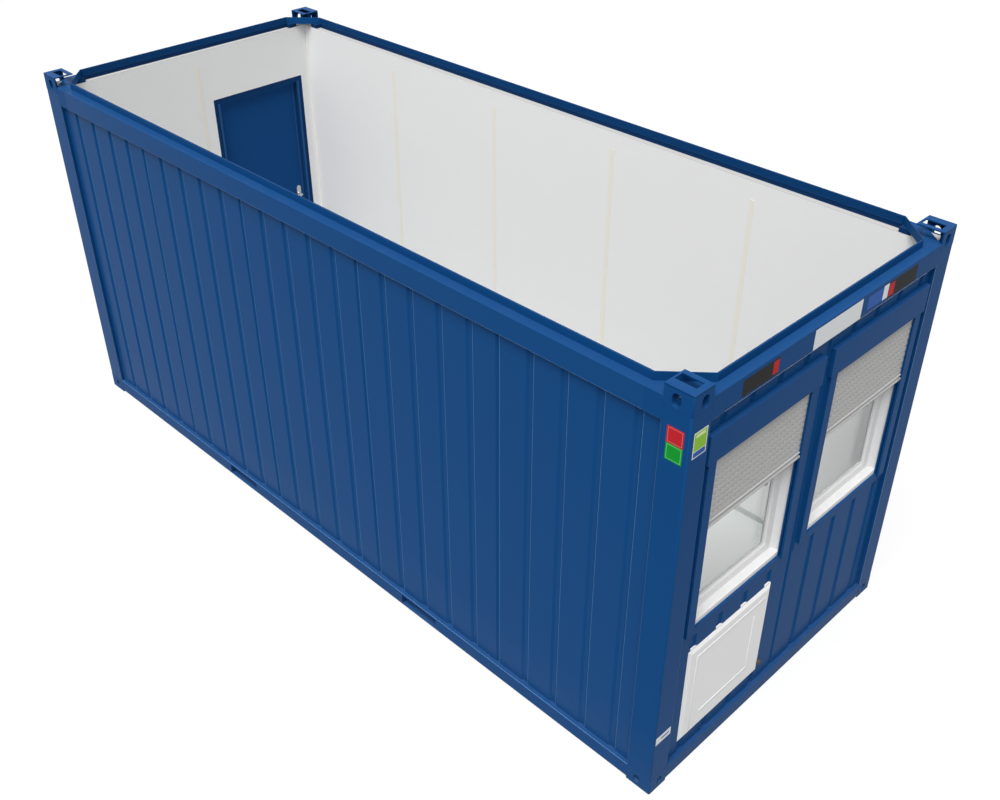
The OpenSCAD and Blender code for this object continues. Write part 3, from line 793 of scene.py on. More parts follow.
    def upright(self, low: Point, high: Point, depth: float) -> bmesh.types.BMFace:
        """Adds one upright face.

        Args:
            low: Its lower left corner as (x, height).
            high: Its upper right corner.
            depth: Its depth.

        Returns:
            The face.
        """
        wide, tall = high[0] - low[0], high[1] - low[1]
        middle = Matrix.Translation((low[0] + wide / 2, depth, low[1] + tall / 2))
        place = middle @ Matrix.Rotation(math.pi / 2, 4, "X") @ Matrix.Diagonal((wide, tall, 1, 1))
        made = bmesh.ops.create_grid(self.mesh, x_segments=1, y_segments=1, size=0.5, matrix=place)
        return made["verts"][0].link_faces[0]

    def sheet(self, low: Point, high: Point, depth: float, thick: float,
              holes: Sequence[Hole]) -> None:
        """Adds an upright sheet with square holes.

        Args:
            low: Its lower left corner as (x, height).
            high: Its upper right corner.
            depth: The depth of its front face.
            thick: Its thickness, inward.
            holes: Its holes as (left, right, low, high).
        """
        self.upright(low, high, depth)
        for hole in holes:
            for at, normal in zip(hole, ((1, 0, 0), (1, 0, 0), (0, 0, 1), (0, 0, 1))):
                everything = self.mesh.verts[:] + self.mesh.edges[:] + self.mesh.faces[:]
                bmesh.ops.bisect_plane(self.mesh, geom=everything, dist=1e-6,
                                       plane_co=Vector(normal) * at, plane_no=normal)
        cut = [face for face in self.mesh.faces for middle in (face.calc_center_median(),)
               if any(h[0] < middle.x < h[1] and h[2] < middle.z < h[3] for h in holes)]
        bmesh.ops.delete(self.mesh, geom=cut, context="FACES")
        self.extrude(self.mesh.faces, (0, thick, 0))
        bmesh.ops.recalc_face_normals(self.mesh, faces=self.mesh.faces)

    def piece(self, name: str, finish: Finish, slot: str | None = None, smooth: bool = False,
              body: Body = Body.CABIN) -> None:
        """Ends the mesh as a piece that rides on a body.

        Args:
            name: The piece's name.
            finish: Its finish.
            slot: The record's material slot; it is not used.
            smooth: Whether its round faces are shaded smooth.
            body: The body it rides on.
        """
        if self.side:
            bmesh.ops.transform(self.mesh, matrix=self.side.place(), verts=self.mesh.verts)
        data = bpy.data.meshes.new(name)
        self.mesh.to_mesh(data)
        self.mesh.free()
        data.materials.append(finish.material())
        made = bpy.data.objects.new(name, data)
        bpy.context.scene.collection.objects.link(made)
        if smooth:
            data.shade_smooth()
            data.set_sharp_from_angle(angle=math.radians(35))
        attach(made, body.value)


# ---------------------------------------------------------------- sub-assemblies


@dataclass
class Shell:
    """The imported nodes, with their finishes and softened edges."""

    edge: float = 0.0012
    casting_edge: float = 0.0025
    rail_edge: float = 0.0018
    finishes: dict[str, Finish] = field(default_factory=lambda: {
        "wall_front": LONG_WALL_BLUE, "wall_back": LONG_WALL_BLUE,
        "roof_rail_front": GLOSSY_BLUE, "roof_rail_back": GLOSSY_BLUE,
        "corner_post_front_door": GLOSSY_BLUE, "corner_post_back_door": GLOSSY_BLUE,
        "wall_": WALL_BLUE, "door_leaf": DOOR_BLUE, "door_frame": SHELL_BLUE,
        "underfloor_sheet": ZINC, "floor_deck": FLOOR_VINYL, "window_frame": FRAME_WHITE,
        "window_glass": PANE, "shutter_curtain": SLAT_GREY, "door_lever": ALUMINIUM,
        "service_cover": COVER_WHITE, "roof_corner": CORNER_BLUE, "": SHELL_BLUE,
    })
    kept_sharp: tuple[str, ...] = ("window_glass", "underfloor_sheet")

    def build(self) -> None:
        """Gives each node its finish, and rounds its edges a little."""
        for name, node in frame["nodes"].items():
            finish = next(f for start, f in self.finishes.items() if name.startswith(start))
            node.data.materials.clear()
            node.data.materials.append(finish.material())
            if not name.startswith(self.kept_sharp):
                self.soften(node)

    def soften(self, node: bpy.types.Object) -> None:
        """Rounds a node's sharp edges with live modifiers.

        Args:
            node: The node's object.
        """
        weld = node.modifiers.new("weld", "WELD")
        weld.merge_threshold = 0.00001
        bevel = node.modifiers.new("bevel", "BEVEL")
        bevel.width = self.edge
        if "casting" in node.name or "roof_corner" in node.name:
            bevel.width = self.casting_edge
        elif "rail" in node.name:
            bevel.width = self.rail_edge
        bevel.segments = 2
        bevel.limit_method = "ANGLE"
        bevel.angle_limit = math.radians(35)
        bevel.use_clamp_overlap = True
        bevel.miter_outer = "MITER_ARC"


def holes_of(side: Side) -> list[Hole]:
    """The openings in a side's inner face.

    Args:
        side: The side.

    Returns:
        Each as (left, right, low, high) in the side's axes.
    """
    if side is Side.WINDOW_END:
        boxes = [end_box(f"window_frame_{name}") for name in ("left", "right")]
        return [(low.x, high.x, low.z, high.z) for low, high in boxes]
    if side is Side.DOOR_END:
        low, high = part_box("door_frame")
        flange = 0.030
        return [(flange - high.y, -low.y - flange, 0.0, high.z - flange)]
    return []


@dataclass
class Lining:
    """The white boards inside the walls, with their joint strips, corner trims and skirting."""

    board: float = 0.003
    strip_half: float = 0.018
    strip_thick: float = 0.002
    band_low: float = 2.568
    joints: tuple[float, ...] = (-1.749, -0.583, 0.583, 1.749)
    end_joints: tuple[float, ...] = (-0.010,)
    corner_wide: float = 0.030
    corner_short: float = 0.010
    edge_wide: float = 0.009
    skirting_high: float = 0.058
    skirting_thick: float = 0.012
    trim_wide: float = 0.05
    trim_thick: float = 0.006
    sill_high: float = 0.02
    sill_deep: float = 0.03

    def build(self) -> None:
        """Lines each side in turn."""
        for side in Side:
            half = side.value[1] - WALL_INNER
            if side.long:
                half += HALF_L - HALF_W
            else:
                half += HALF_W - HALF_L - self.board
            holes = holes_of(side)
            board = Shaper(side)
            board.sheet((-half, DECK_TOP), (half, WALL_TOP - 0.001), WALL_INNER, self.board, holes)
            board.piece(f"lining_{side.label}", LINING_WHITE)
            self.strips(side, half, holes)
            self.skirting(side, half, holes)
            if side is Side.WINDOW_END:
                self.trim(side, holes)

    def strips(self, side: Side, half: float, holes: Sequence[Hole]) -> None:
        """The strips over the boards' joints, and the trims in the room's corners.

        Args:
            side: The side.
            half: Half of the room's width along it.
            holes: Its openings.
        """
        face, foot = WALL_INNER + self.board, DECK_TOP + self.skirting_high
        back = face + self.strip_thick
        strips, corners = Shaper(side), Shaper(side)
        for middle in self.joints if side.long else self.end_joints:
            low = max([foot] + [h[3] + self.trim_wide for h in holes if h[0] < middle < h[1]])
            strips.block((middle - self.strip_half, face, low),
                         (middle + self.strip_half, back, self.band_low), 0.0008, 1)
        leg = self.corner_short if side.long else self.corner_wide
        for end in ENDS:
            low, high = sorted((end * half, end * (half - leg)))
            corners.block((low, face, foot), (high, back, self.band_low), 0.0008, 1)
            if side.long:
                low, high = sorted((end * (half - leg), end * (half - leg - self.edge_wide)))
                strips.block((low, face, foot),
                             (high, face + self.strip_thick * 0.7, self.band_low), 0.0005, 1)
        strips.piece(f"lining_strips_{side.label}", STRIP_BEIGE)
        corners.piece(f"lining_corners_{side.label}", TRIM_WHITE)

    def skirting(self, side: Side, half: float, holes: Sequence[Hole]) -> None:
        """The skirting along the floor.

        Args:
            side: The side.
            half: Half of the room's width along it.
            holes: Its openings.
        """
        doors = [h for h in holes if h[2] < DECK_TOP]
        face, lean = WALL_INNER + self.board, self.skirting_thick
        low, high = DECK_TOP, DECK_TOP + self.skirting_high
        outline = ((face, low), (face + lean, low), (face + lean, high - 0.012),
                   (face + lean * 0.7, high - 0.004), (face + lean * 0.3, high), (face, high))
        skirting = Shaper(side)
        for start, end in zip([-half] + [h[1] for h in doors], [h[0] for h in doors] + [half]):
            skirting.pull([(start, *point) for point in outline], (end - start, 0, 0))
        skirting.piece(f"skirting_{side.label}", SKIRTING_GREY)

    def trim(self, side: Side, holes: Sequence[Hole]) -> None:
        """Frames the openings of a side on its inner face.

        Args:
            side: The side.
            holes: Its openings.
        """
        face, wide = WALL_INNER + self.board, self.trim_wide
        back = face + self.trim_thick
        trim = Shaper(side)
        for left, right, low, high in holes:
            top = high + wide
            trim.block((left - wide, face, low), (left, back, top), 0.0015)
            trim.block((right, face, low), (right + wide, back, top), 0.0015)
            trim.block((left, face, high), (right, back, top), 0.0015)
            trim.block((left - wide, face, low - self.sill_high),
                       (right + wide, face + self.sill_deep, low), 0.004, 3)
        trim.piece(f"opening_trim_{side.label}", FRAME_WHITE)


@dataclass
class Seals:
    """The thin pale seal lines under the roof rails and down the posts' inner edges."""

    long_thick: float = 0.0012
    end_thick: float = 0.0014
    face: float = 0.0015
    deep: float = 0.004

    def build(self) -> None:
        """Lays the seals along the four sides."""
        post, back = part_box("corner_post_back_window")[0], self.face + self.deep
        for side in Side:
            half = post.x if side.long else post.y
            thick = self.long_thick if side.long else self.end_thick
            seal, down = Shaper(side), Shaper(side)
            seal.block((-half, self.face, RAIL_UNDER - thick), (half, back, RAIL_UNDER), 0.0003, 1)
            seal.piece(f"rail_seal_{side.label}", SEAL_BLUE if side.long else SEAL_PALE)
            for end in ENDS:
                low, high = sorted((end * half, end * (half - thick * 0.8)))
                down.block((low, self.face, RAIL_TOP), (high, back, RAIL_UNDER - thick), 0.0003, 1)
            down.piece(f"post_seal_{side.label}", SEAL_BLUE)


@dataclass
class RailLips:
    """The lip, weld line and web inside each roof rail, and the cap on the wall below, in darker
    paints that stand for painted shade.
    """

    lip: float = 0.006
    level: float = 2.726
    bead: float = 0.0018
    web_reach: float = 0.077
    overlap: float = 0.0005

    def build(self) -> None:
        """Runs the lips, webs and caps along the four sides."""
        for side in Side:
            low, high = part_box("roof_rail_back" if side.long else "roof_rail_window_end")
            half = (high.x if side.long else high.y) - 0.004
            inner = side.value[1] - (low.y if side.long else low.x)
            self.run_lip(side, half, inner, high.z - 0.001)
            self.run_web(side, half, inner)
            # The grey cap darkens the wall's lit top as painted shade.
            cap = Shaper(side)
            cap.block((-half, inner + 0.0030, WALL_TOP - 0.0015),
                      (half, WALL_INNER + 0.0033, WALL_TOP + 0.0008), 0.0003, 1)
            cap.piece(f"wall_cap_{side.label}", PAINTED_SHADE_CAP_GREY)

    def run_lip(self, side: Side, half: float, inner: float, top: float) -> None:
        """The folded lip with the weld along its lower edge, in a darker blue as painted shade.

        Args:
            side: The side.
            half: Half of the rail's length.
            inner: The depth of the rail's inner face.
            top: The level of the lip's top.
        """
        start, edge = inner - self.overlap, inner + self.lip
        lip = Shaper(side)
        lip.pull([(-half, start, top), (-half, edge, top), (-half, edge, self.level),
                  (-half, start, self.level)], (2 * half, 0, 0), 0.001)
        lip.rod((-half, edge, self.level), (half, edge, self.level), self.bead, sides=8)
        lip.piece(f"rail_lip_{side.label}", PAINTED_SHADE_RAIL_BLUE, "painted_blue")

    def run_web(self, side: Side, half: float, inner: float) -> None:
        """The web between the lip and the wall's top, with a block at each end, in a darker blue
        that stands for painted shade.

        Args:
            side: The side.
            half: Half of the rail's length.
            inner: The depth of the rail's inner face.
        """
        start, top, foot = inner - self.overlap, self.level - 0.001, WALL_TOP + 0.001
        web = Shaper(side)
        web.pull([(-half, start, top), (-half, inner + 0.004, top), (-half, inner + 0.001, foot),
                  (-half, start, foot)], (2 * half, 0, 0), 0.0006, 1)
        for end in ENDS:
            near, far = sorted((end * half, end * (half + self.web_reach)))
            web.block((near, start, WALL_TOP + 0.0005),
                      (far, WALL_INNER + 0.0045, self.level - 0.0025), 0.0006, 1)
        web.piece(f"rail_web_{side.label}", PAINTED_SHADE_BLUE, "painted_blue")


@dataclass
class Folds:
    """Fine light lines along the folds of the long walls' grooves and of the floor rails, a
    painted highlight along one edge of each fold.
    """

    panel: float = 1.166
    joint_at: float = 0.595
    joint_half: float = 0.016
    groove_at: tuple[float, ...] = (0.235, 0.473, 0.711, 0.949)
    groove_half: float = 0.028
    from_post: float = 0.03
    radius: float = 0.0009
    rail_radius: float = 0.0013

    def lines(self, reach: float) -> list[float]:
        """Works out where the folds stand along a wall.

        Args:
            reach: Half of the wall's length.

        Returns:
            Their places along X.
        """
        joints = [self.joint_at + step * self.panel for step in range(-4, 4)]
        found = [joint + fold for joint in joints
                 for fold in (self.joint_half, *(g + self.groove_half for g in self.groove_at))]
        return [x for x in found if abs(x) < reach - self.from_post]

    def build(self) -> None:
        """Draws the lines on both long sides, and one along each floor rail's outer edge."""
        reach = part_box("corner_post_back_window")[0].x
        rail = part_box("floor_rail_back")[1]
        edge = (HALF_W - rail.y + self.rail_radius, rail.z - self.rail_radius + 0.0002)
        deep = WALL_RECESS + 0.0004
        for side in (Side.FRONT, Side.BACK):
            fold = Shaper(side)
            for x in self.lines(reach):
                fold.rod((x, deep, RAIL_TOP), (x, deep, RAIL_UNDER), self.radius, sides=6)
            fold.rod((-reach, *edge), (reach, *edge), self.rail_radius, sides=8)
            fold.piece(f"groove_folds_{side.label}", FOLD_HIGHLIGHT_BLUE, "painted_blue")


@dataclass
class SlotRims:
    """The thick rims inside the side slots of the corner fittings; the low ones are a lighter blue
    as a painted highlight.
    """

    from_end: float = 0.098
    from_side: float = 0.088
    front: float = 0.004
    back: float = 0.034
    thick: float = 0.004
    play: float = 0.0006
    low: tuple[float, float, float] = (0.046, 0.060, 0.056)
    top: tuple[float, float, float] = (0.052, 0.079, 2.731)

    def build(self) -> None:
        """Puts a rim in each slot."""
        for side in Side:
            reach = HALF_L - self.from_end if side.long else HALF_W - self.from_side
            # The low rims take the lighter blue, a painted highlight on the slot's visible inside.
            for label, finish, (wide, tall, level) in (("low", PAINTED_HIGHLIGHT_BLUE, self.low),
                                                       ("top", SHELL_BLUE, self.top)):
                rims = Shaper(side)
                for end in ENDS:
                    rims.slot_rim((end * reach, level), wide - self.play, tall - self.play,
                                  self.front, self.back, self.thick)
                rims.piece(f"slot_rims_{label}_{side.label}", finish, "painted_blue", True)


@dataclass
class Label:
    """One bare plate or sticker, in the axes of its side."""

    name: str
    finish: Finish
    left: float
    right: float
    low: float
    high: float
    layer: int = 0


@dataclass
class Labels:
    """Bare plates and stickers on one side of the frame, with nothing written on them."""

    side: Side
    labels: tuple[Label, ...]
    face: float = 0.001
    thin: float = 0.0005
    layer_thick: float = 0.0002
    corner: float = 0.002

    def build(self) -> None:
        """Builds each label as a thin plate on its face, with rounded corners."""
        for label in self.labels:
            out = self.face - self.layer_thick * label.layer
            plate = Shaper(self.side)
            verts = plate.cube((label.left, out - self.thin, label.low),
                               (label.right, out, label.high))
            plate.bevel([e for e in around(verts) if runs_along(e, 1)], self.corner, 4)
            plate.piece(label.name, label.finish)


END_LABELS = Labels(Side.WINDOW_END, (
    Label("plate_dark_left", PLATE_BLACK, -0.830, -0.526, 2.606, 2.702),
    Label("block_red_left", PLATE_RED, -0.578, -0.529, 2.616, 2.692, 1),
    Label("plate_white", PLATE_WHITE, -0.216, 0.235, 2.594, 2.713),
    Label("plate_blue", PLATE_BLUE, 0.293, 0.451, 2.617, 2.699),
    Label("plate_white_end", PLATE_WHITE, 0.451, 0.504, 2.614, 2.702),
    Label("plate_dark_right", PLATE_BLACK, 0.507, 0.814, 2.603, 2.702),
    Label("block_red_right", PLATE_RED, 0.509, 0.568, 2.614, 2.692, 1),
    Label("sticker_border", PLATE_WHITE, -1.189, -1.083, 2.430, 2.580),
    Label("sticker_green", PLATE_LIME, -1.183, -1.089, 2.470, 2.574, 1),
    Label("sticker_cream", PLATE_CREAM, -1.172, -1.100, 2.546, 2.566, 2),
    Label("sticker_blue", PLATE_BLUE, -1.183, -1.089, 2.436, 2.466, 1),
    Label("strip_white", PLATE_WHITE, -1.208, -1.077, 0.422, 0.481),
    Label("strip_blue", PLATE_BLUE, -1.163, -1.092, 0.446, 0.457, 1),
))
FRONT_LABELS = Labels(Side.FRONT, (
    Label("sign_red", PLATE_RED, 2.894, 2.994, 2.487, 2.584),
    Label("sign_red_line", PLATE_ROSE, 2.901, 2.987, 2.494, 2.577, 1),
    Label("sign_red_field", PLATE_RED, 2.904, 2.984, 2.497, 2.574, 2),
    Label("sign_green", PLATE_GREEN, 2.894, 2.994, 2.390, 2.487),
    Label("sign_green_line", PLATE_MINT, 2.901, 2.987, 2.397, 2.480, 1),
    Label("sign_green_field", PLATE_GREEN, 2.904, 2.984, 2.400, 2.477, 2),
))


@dataclass
class Cover:
    """What sits on the service cover: its beads, groove tabs and cable gland."""

    bead_half: float = 0.008
    bead_proud: float = 0.0025
    from_top: float = 0.086
    from_left: float = 0.084
    from_right: float = 0.150
    from_bottom: float = 0.141
    upper_stop: tuple[float, float] = (0.059, 0.048)
    lower_stop: tuple[float, float] = (0.087, 0.085)
    tab_half: float = 0.026
    tab_high: float = 0.013
    tabs: tuple[float, ...] = (-0.907, -0.671, -0.435, -0.199)
    gland_radius: float = 0.020
    gland_long: float = 0.022
    gland_at: tuple[float, float] = (-0.158, 0.283)

    def build(self) -> None:
        """Builds the pieces on the cover."""
        low, high = end_box("service_cover")
        self.beads(low, high)
        tabs = Shaper(Side.WINDOW_END)
        for middle in self.tabs:
            tabs.block((middle - self.tab_half, WALL_RECESS - 0.002, high.z - 0.006),
                       (middle + self.tab_half, WALL_RECESS + 0.008, high.z + self.tab_high),
                       0.004, 3)
        tabs.piece("cover_tabs", COVER_WHITE, "cover_white")
        self.gland(low.y)

    def beads(self, low: Vector, high: Vector) -> None:
        """The pressed beads that stiffen the cover, in two angles.

        Args:
            low: The cover's lowest corner.
            high: Its highest corner.
        """
        half, proud, out = self.bead_half, self.bead_proud, low.y
        left, right = low.x + self.from_left, high.x - self.from_right
        foot, head = low.z + self.from_bottom, high.z - self.from_top
        end, stop = high.x - self.upper_stop[0], low.z + self.upper_stop[1]
        start, peak = left + self.lower_stop[0], head - self.lower_stop[1]
        bead = Shaper(Side.WINDOW_END)
        for outline in (
                ((left - half, stop), (left + half, stop), (left + half, head - half),
                 (end, head - half), (end, head + half), (left - half, head + half)),
                ((start, foot - half), (right + half, foot - half), (right + half, peak),
                 (right - half, peak), (right - half, foot + half), (start, foot + half))):
            bead.pull([(x, out - proud, z) for x, z in outline], (0, proud + 0.001, 0),
                      proud * 0.9, 3)
        bead.piece("cover_beads", COVER_WHITE, "cover_white", True)

    def gland(self, out: float) -> None:
        """The dark cable gland beside the cover's lower right corner.

        Args:
            out: The depth of the cover's outer face.
        """
        y, z = self.gland_at
        back = WALL_RECESS + 0.006
        gland = Shaper(Side.WINDOW_END)
        gland.rod((y, back - self.gland_long, z), (y, back, z), self.gland_radius, bevel=0.003)
        gland.rod((y, out - 0.013, z), (y, out, z), self.gland_radius * 0.8, bevel=0.002, sides=6)
        gland.piece("cover_gland", GLAND_GREY, smooth=True)


@dataclass
class Window:
    """The small pieces of one window and its shutter."""

    name: str
    middle: float
    guide_inner: float = 0.434
    bead: float = 0.016
    seal: float = 0.016
    sash_deep: float = 0.040
    handle_level: float = 1.72
    handle_from_glass: float = 0.030
    slat_pitch: float = 0.039
    slot_pitch: float = 0.037
    slot_half: float = 0.008
    first_slot: float = 0.046
    rows: int = 10

    def build(self) -> None:
        """Builds the beads, handle, slat slots and bottom bar."""
        face = end_box(f"window_frame_{self.name}")[1].y
        self.glazing(face)
        self.handle(face)
        low, high = end_box(f"shutter_curtain_{self.name}")
        self.slat_slots(low, high)
        self.bottom_bar(low)

    def ring(self, name: str, finish: Finish, inset: float, wide: float,
             depths: tuple[float, float, float], slot: str | None = None) -> None:
        """Builds a mitred ring inside the sash.

        Args:
            name: The start of the piece's name.
            finish: Its finish.
            inset: The gap between the sash and the ring.
            wide: The ring's width.
            depths: The depths of its outer edge, its inner edge and its back.
            slot: The record's material slot.
        """
        low, high = end_box(f"window_glass_{self.name}")
        shaper = Shaper(Side.WINDOW_END)
        mesh = shaper.mesh
        centre = shaper.upright((low.x + inset, low.z + inset), (high.x - inset, high.z - inset),
                                depths[0])
        rim = bmesh.ops.inset_individual(mesh, faces=[centre], thickness=wide)["faces"]
        for vert in centre.verts:
            vert.co.y = depths[1]
        bmesh.ops.delete(mesh, geom=[centre], context="FACES_ONLY")
        for vert in shaper.extrude(rim, (0, 0, 0)):
            vert.co.y = depths[2]
        bmesh.ops.recalc_face_normals(mesh, faces=mesh.faces)
        shaper.piece(f"{name}_{self.name}", finish, slot)

    def glazing(self, face: float) -> None:
        """The sloped beads that hold the glass, outside and inside, and their seals.

        Args:
            face: The depth of the window frame's inner face.
        """
        low, high = end_box(f"window_glass_{self.name}")
        outer = (face - self.sash_deep + 0.002, low.y - 0.004, low.y)
        inner = (face - 0.002, high.y + 0.004, high.y)
        self.ring("glazing_bead_outer", FRAME_WHITE, 0.0, self.bead, outer, "white_frame")
        self.ring("glazing_bead_inner", FRAME_WHITE, 0.0, self.bead, inner, "white_frame")
        self.ring("glazing_seal", GLAZING_GREY, self.bead - 0.001, self.seal,
                  (low.y - 0.003, low.y - 0.0015, low.y))

    def handle(self, face: float) -> None:
        """The handle on the sash's inner side.

        Args:
            face: The depth of the window frame's inner face.
        """
        x = end_box(f"window_glass_{self.name}")[1].x + self.handle_from_glass
        level = self.handle_level
        handle = Shaper(Side.WINDOW_END)
        handle.block((x - 0.015, face, level - 0.035), (x + 0.015, face + 0.011, level + 0.035),
                     0.004, 3)
        handle.rod((x, face + 0.010, level), (x, face + 0.042, level), 0.009, bevel=0.002)
        handle.block((x - 0.010, face + 0.032, level - 0.115),
                     (x + 0.010, face + 0.046, level + 0.012), 0.005, 3)
        handle.piece(f"window_handle_{self.name}", FRAME_WHITE, "white_frame", True)

    def slat_slots(self, low: Vector, high: Vector) -> None:
        """The pale tongues that show in the punched slots between the slats.

        Args:
            low: The curtain's lowest corner.
            high: Its highest corner.
        """
        slots = Shaper(Side.WINDOW_END)
        count = int((2 * self.guide_inner - 0.02) / self.slot_pitch)
        levels = [low.z + self.first_slot + self.slat_pitch * row for row in range(self.rows)]
        for level in levels:
            for column in range(count if level <= high.z - 0.012 else 0):
                x = self.middle + (column - (count - 1) / 2) * self.slot_pitch
                slots.cube((x - self.slot_half, low.y + 0.0055, level - 0.003),
                           (x + self.slot_half, low.y + 0.0105, level + 0.003))
        slots.piece(f"slat_slots_{self.name}", SLOT_GREY, "grey_shutter")

    def bottom_bar(self, low: Vector) -> None:
        """The bottom bar's lips, its dark seal and its end stops.

        Args:
            low: The curtain's lowest corner.
        """
        half = self.guide_inner - 0.003
        left, right = self.middle - half, self.middle + half
        side = Side.WINDOW_END
        lip, seal, stops = Shaper(side), Shaper(side), Shaper(side)
        for foot, head in ((0.036, 0.044), (0.001, 0.008)):
            lip.block((left, low.y - 0.001, low.z + foot), (right, low.y + 0.006, low.z + head),
                      0.002)
        lip.piece(f"bar_lip_{self.name}", BAR_GREY, "grey_shutter")
        seal.block((left, low.y + 0.003, low.z - 0.007), (right, low.y + 0.010, low.z + 0.001),
                   0.002)
        seal.piece(f"bar_seal_{self.name}", SEAL_DARK)
        for end in ENDS:
            x, z = self.middle + end * (half - 0.020), low.z + 0.016
            stops.rod((x, low.y - 0.006, z), (x, low.y + 0.004, z), 0.007, 0.006, 0.002, 16)
        stops.piece(f"bar_stops_{self.name}", SLAT_GREY, "grey_shutter", True)


@dataclass
class Door:
    """The fittings of the door leaf and its frame."""

    neck: float = 0.010
    lock_under: float = 0.072
    plate_half: float = 0.0216
    plate_above: float = 0.0786
    plate_under: float = 0.1026
    screw_from_end: float = 0.0126
    outer_face: float = -3.010
    leaf_inner: float = -2.965
    inner_face: float = -2.960
    hinge_face: float = -3.0055
    hinge_side: float = 0.157
    hinge_levels: tuple[float, ...] = (0.356, 1.193, 2.030)
    gasket_wide: float = 0.008
    gasket_thick: float = 0.004
    gasket_inset: float = 0.003
    rib_from: float = -2.953
    rib_pitch: float = 0.010
    sill: tuple[float, float] = (0.172, 0.974)
    sill_level: float = 0.156
    frame_wide: float = 0.072
    flange_edge: float = 0.031
    lip_wide: float = 0.016

    def build(self) -> None:
        """Builds the lock, gasket, screws, threshold and frame lip."""
        low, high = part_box("door_leaf")
        self.lock("outer", self.outer_face, -1)
        self.lock("inner", self.inner_face, 1)
        self.gasket(low, high)
        self.hinge_screws()
        threshold = Shaper()
        for rib in range(3):
            x = self.rib_from + rib * self.rib_pitch
            threshold.block((x, self.sill[0], self.sill_level),
                            (x + 0.005, self.sill[1], self.sill_level + 0.0045), 0.001, 1)
        threshold.piece("door_threshold", ALUMINIUM)
        self.frame_lip(low, high)

    def lock(self, name: str, face: float, out: int) -> None:
        """The handle plate on one side, with its lock cylinder and screws.

        Args:
            name: The side's name.
            face: Where the plate's face is along X.
            out: Which way it faces.
        """
        low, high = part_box("door_lever")
        y, axis = high.y - self.neck, (low.z + high.z) / 2
        z, head, foot = axis - self.lock_under, axis + self.plate_above, axis - self.plate_under
        start = face - out * 0.002
        plate, lock = Shaper(), Shaper()
        near, far = sorted((face - out * 0.0055, face + out * 0.0008))
        verts = plate.cube((near, y - self.plate_half, foot), (far, y + self.plate_half, head))
        plate.bevel([e for e in around(verts) if runs_along(e, 0)], self.plate_half * 0.96, 8)
        plate.piece(f"door_plate_{name}", ALUMINIUM, "lever_metal", body=Body.DOOR)
        lock.rod((start, y, z), (face + out * 0.004, y, z), 0.0085, bevel=0.001)
        near, far = sorted((start, face + out * 0.004))
        lock.block((near, y - 0.005, z - 0.026), (far, y + 0.005, z), 0.0015)
        for level in (head - self.screw_from_end, foot + self.screw_from_end):
            lock.rod((start, y, level), (face + out * 0.0015, y, level), 0.004, 0.003, sides=12)
        lock.rod((start, y, axis), (face + out * 0.004, y, axis), 0.0165, 0.014, 0.001)
        lock.piece(f"door_lock_{name}", ALUMINIUM, smooth=True, body=Body.DOOR)

    def gasket(self, low: Vector, high: Vector) -> None:
        """The rubber gasket round the leaf's inner face.

        Args:
            low: The leaf's lowest corner.
            high: Its highest corner.
        """
        wide, inset = self.gasket_wide, self.gasket_inset
        left, right = self.hinge_side + inset, high.y - inset
        foot, head = low.z + inset, high.z - inset
        gasket = Shaper()
        for near, far in (((left, foot), (left + wide, head)),
                          ((right - wide, foot), (right, head)),
                          ((left + wide, head - wide), (right - wide, head)),
                          ((left + wide, foot), (right - wide, foot + wide))):
            gasket.block((self.leaf_inner, *near), (self.leaf_inner + self.gasket_thick, *far),
                         0.0015)
        gasket.piece("door_gasket", SEAL_DARK, body=Body.DOOR)

    def hinge_screws(self) -> None:
        """The screws of the three hinges, on the leaf."""
        screws = Shaper()
        for level in self.hinge_levels:
            for across in (0.018, 0.034):
                for along in (-0.036, 0.0, 0.036):
                    y, z = self.hinge_side + across, level + along
                    screws.rod((self.hinge_face, y, z), (self.hinge_face - 0.002, y, z), 0.0045,
                               0.0035, sides=12)
        screws.piece("hinge_screws", STEEL_DARK, smooth=True, body=Body.DOOR)

    def frame_lip(self, leaf_low: Vector, leaf_high: Vector) -> None:
        """The folded lip and flange round the frame's inner edge, and the strip on the leaf. The
        lip and strip are a lighter blue as a painted highlight; the flange is a darker blue as
        painted shade.

        Args:
            leaf_low: The leaf's lowest corner.
            leaf_high: Its highest corner.
        """
        low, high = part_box("door_frame")
        inner, wide, edge = high.x, self.lip_wide, self.flange_edge
        left, right = low.y + self.frame_wide, high.y - self.frame_wide
        head, top = high.z - self.frame_wide, high.z - edge
        lip, flange, strip = Shaper(), Shaper(), Shaper()
        near, far = left - wide * 0.3, right + wide * 0.3
        # The lip's lighter blue is a painted highlight on the frame's edge.
        for start, end in ((near, left + wide * 0.7), (right - wide * 0.7, far)):
            lip.block((inner - 0.003, start, DECK_TOP), (inner + 0.006, end, head), 0.001)
        lip.piece("door_frame_lip", PAINTED_HIGHLIGHT_BLUE, "painted_blue")
        # The flange's darker blue is painted shade round the opening.
        for start, end, foot in ((low.y + edge, near, DECK_TOP), (far, high.y - edge, DECK_TOP),
                                 (near, far, head)):
            flange.block((inner - 0.0005, start, foot), (inner + 0.0015, end, top), 0.0005, 1)
        flange.piece("door_frame_flange", PAINTED_SHADE_BLUE, "painted_blue")
        # The strip's lighter blue is a painted highlight on the leaf's edge.
        strip.block((self.leaf_inner - 0.001, right - 0.040, leaf_low.z + 0.012),
                    (self.leaf_inner + 0.003, right - 0.028, leaf_high.z - 0.012), 0.001)
        strip.piece("door_edge_strip", PAINTED_HIGHLIGHT_BLUE, "painted_blue", body=Body.DOOR)


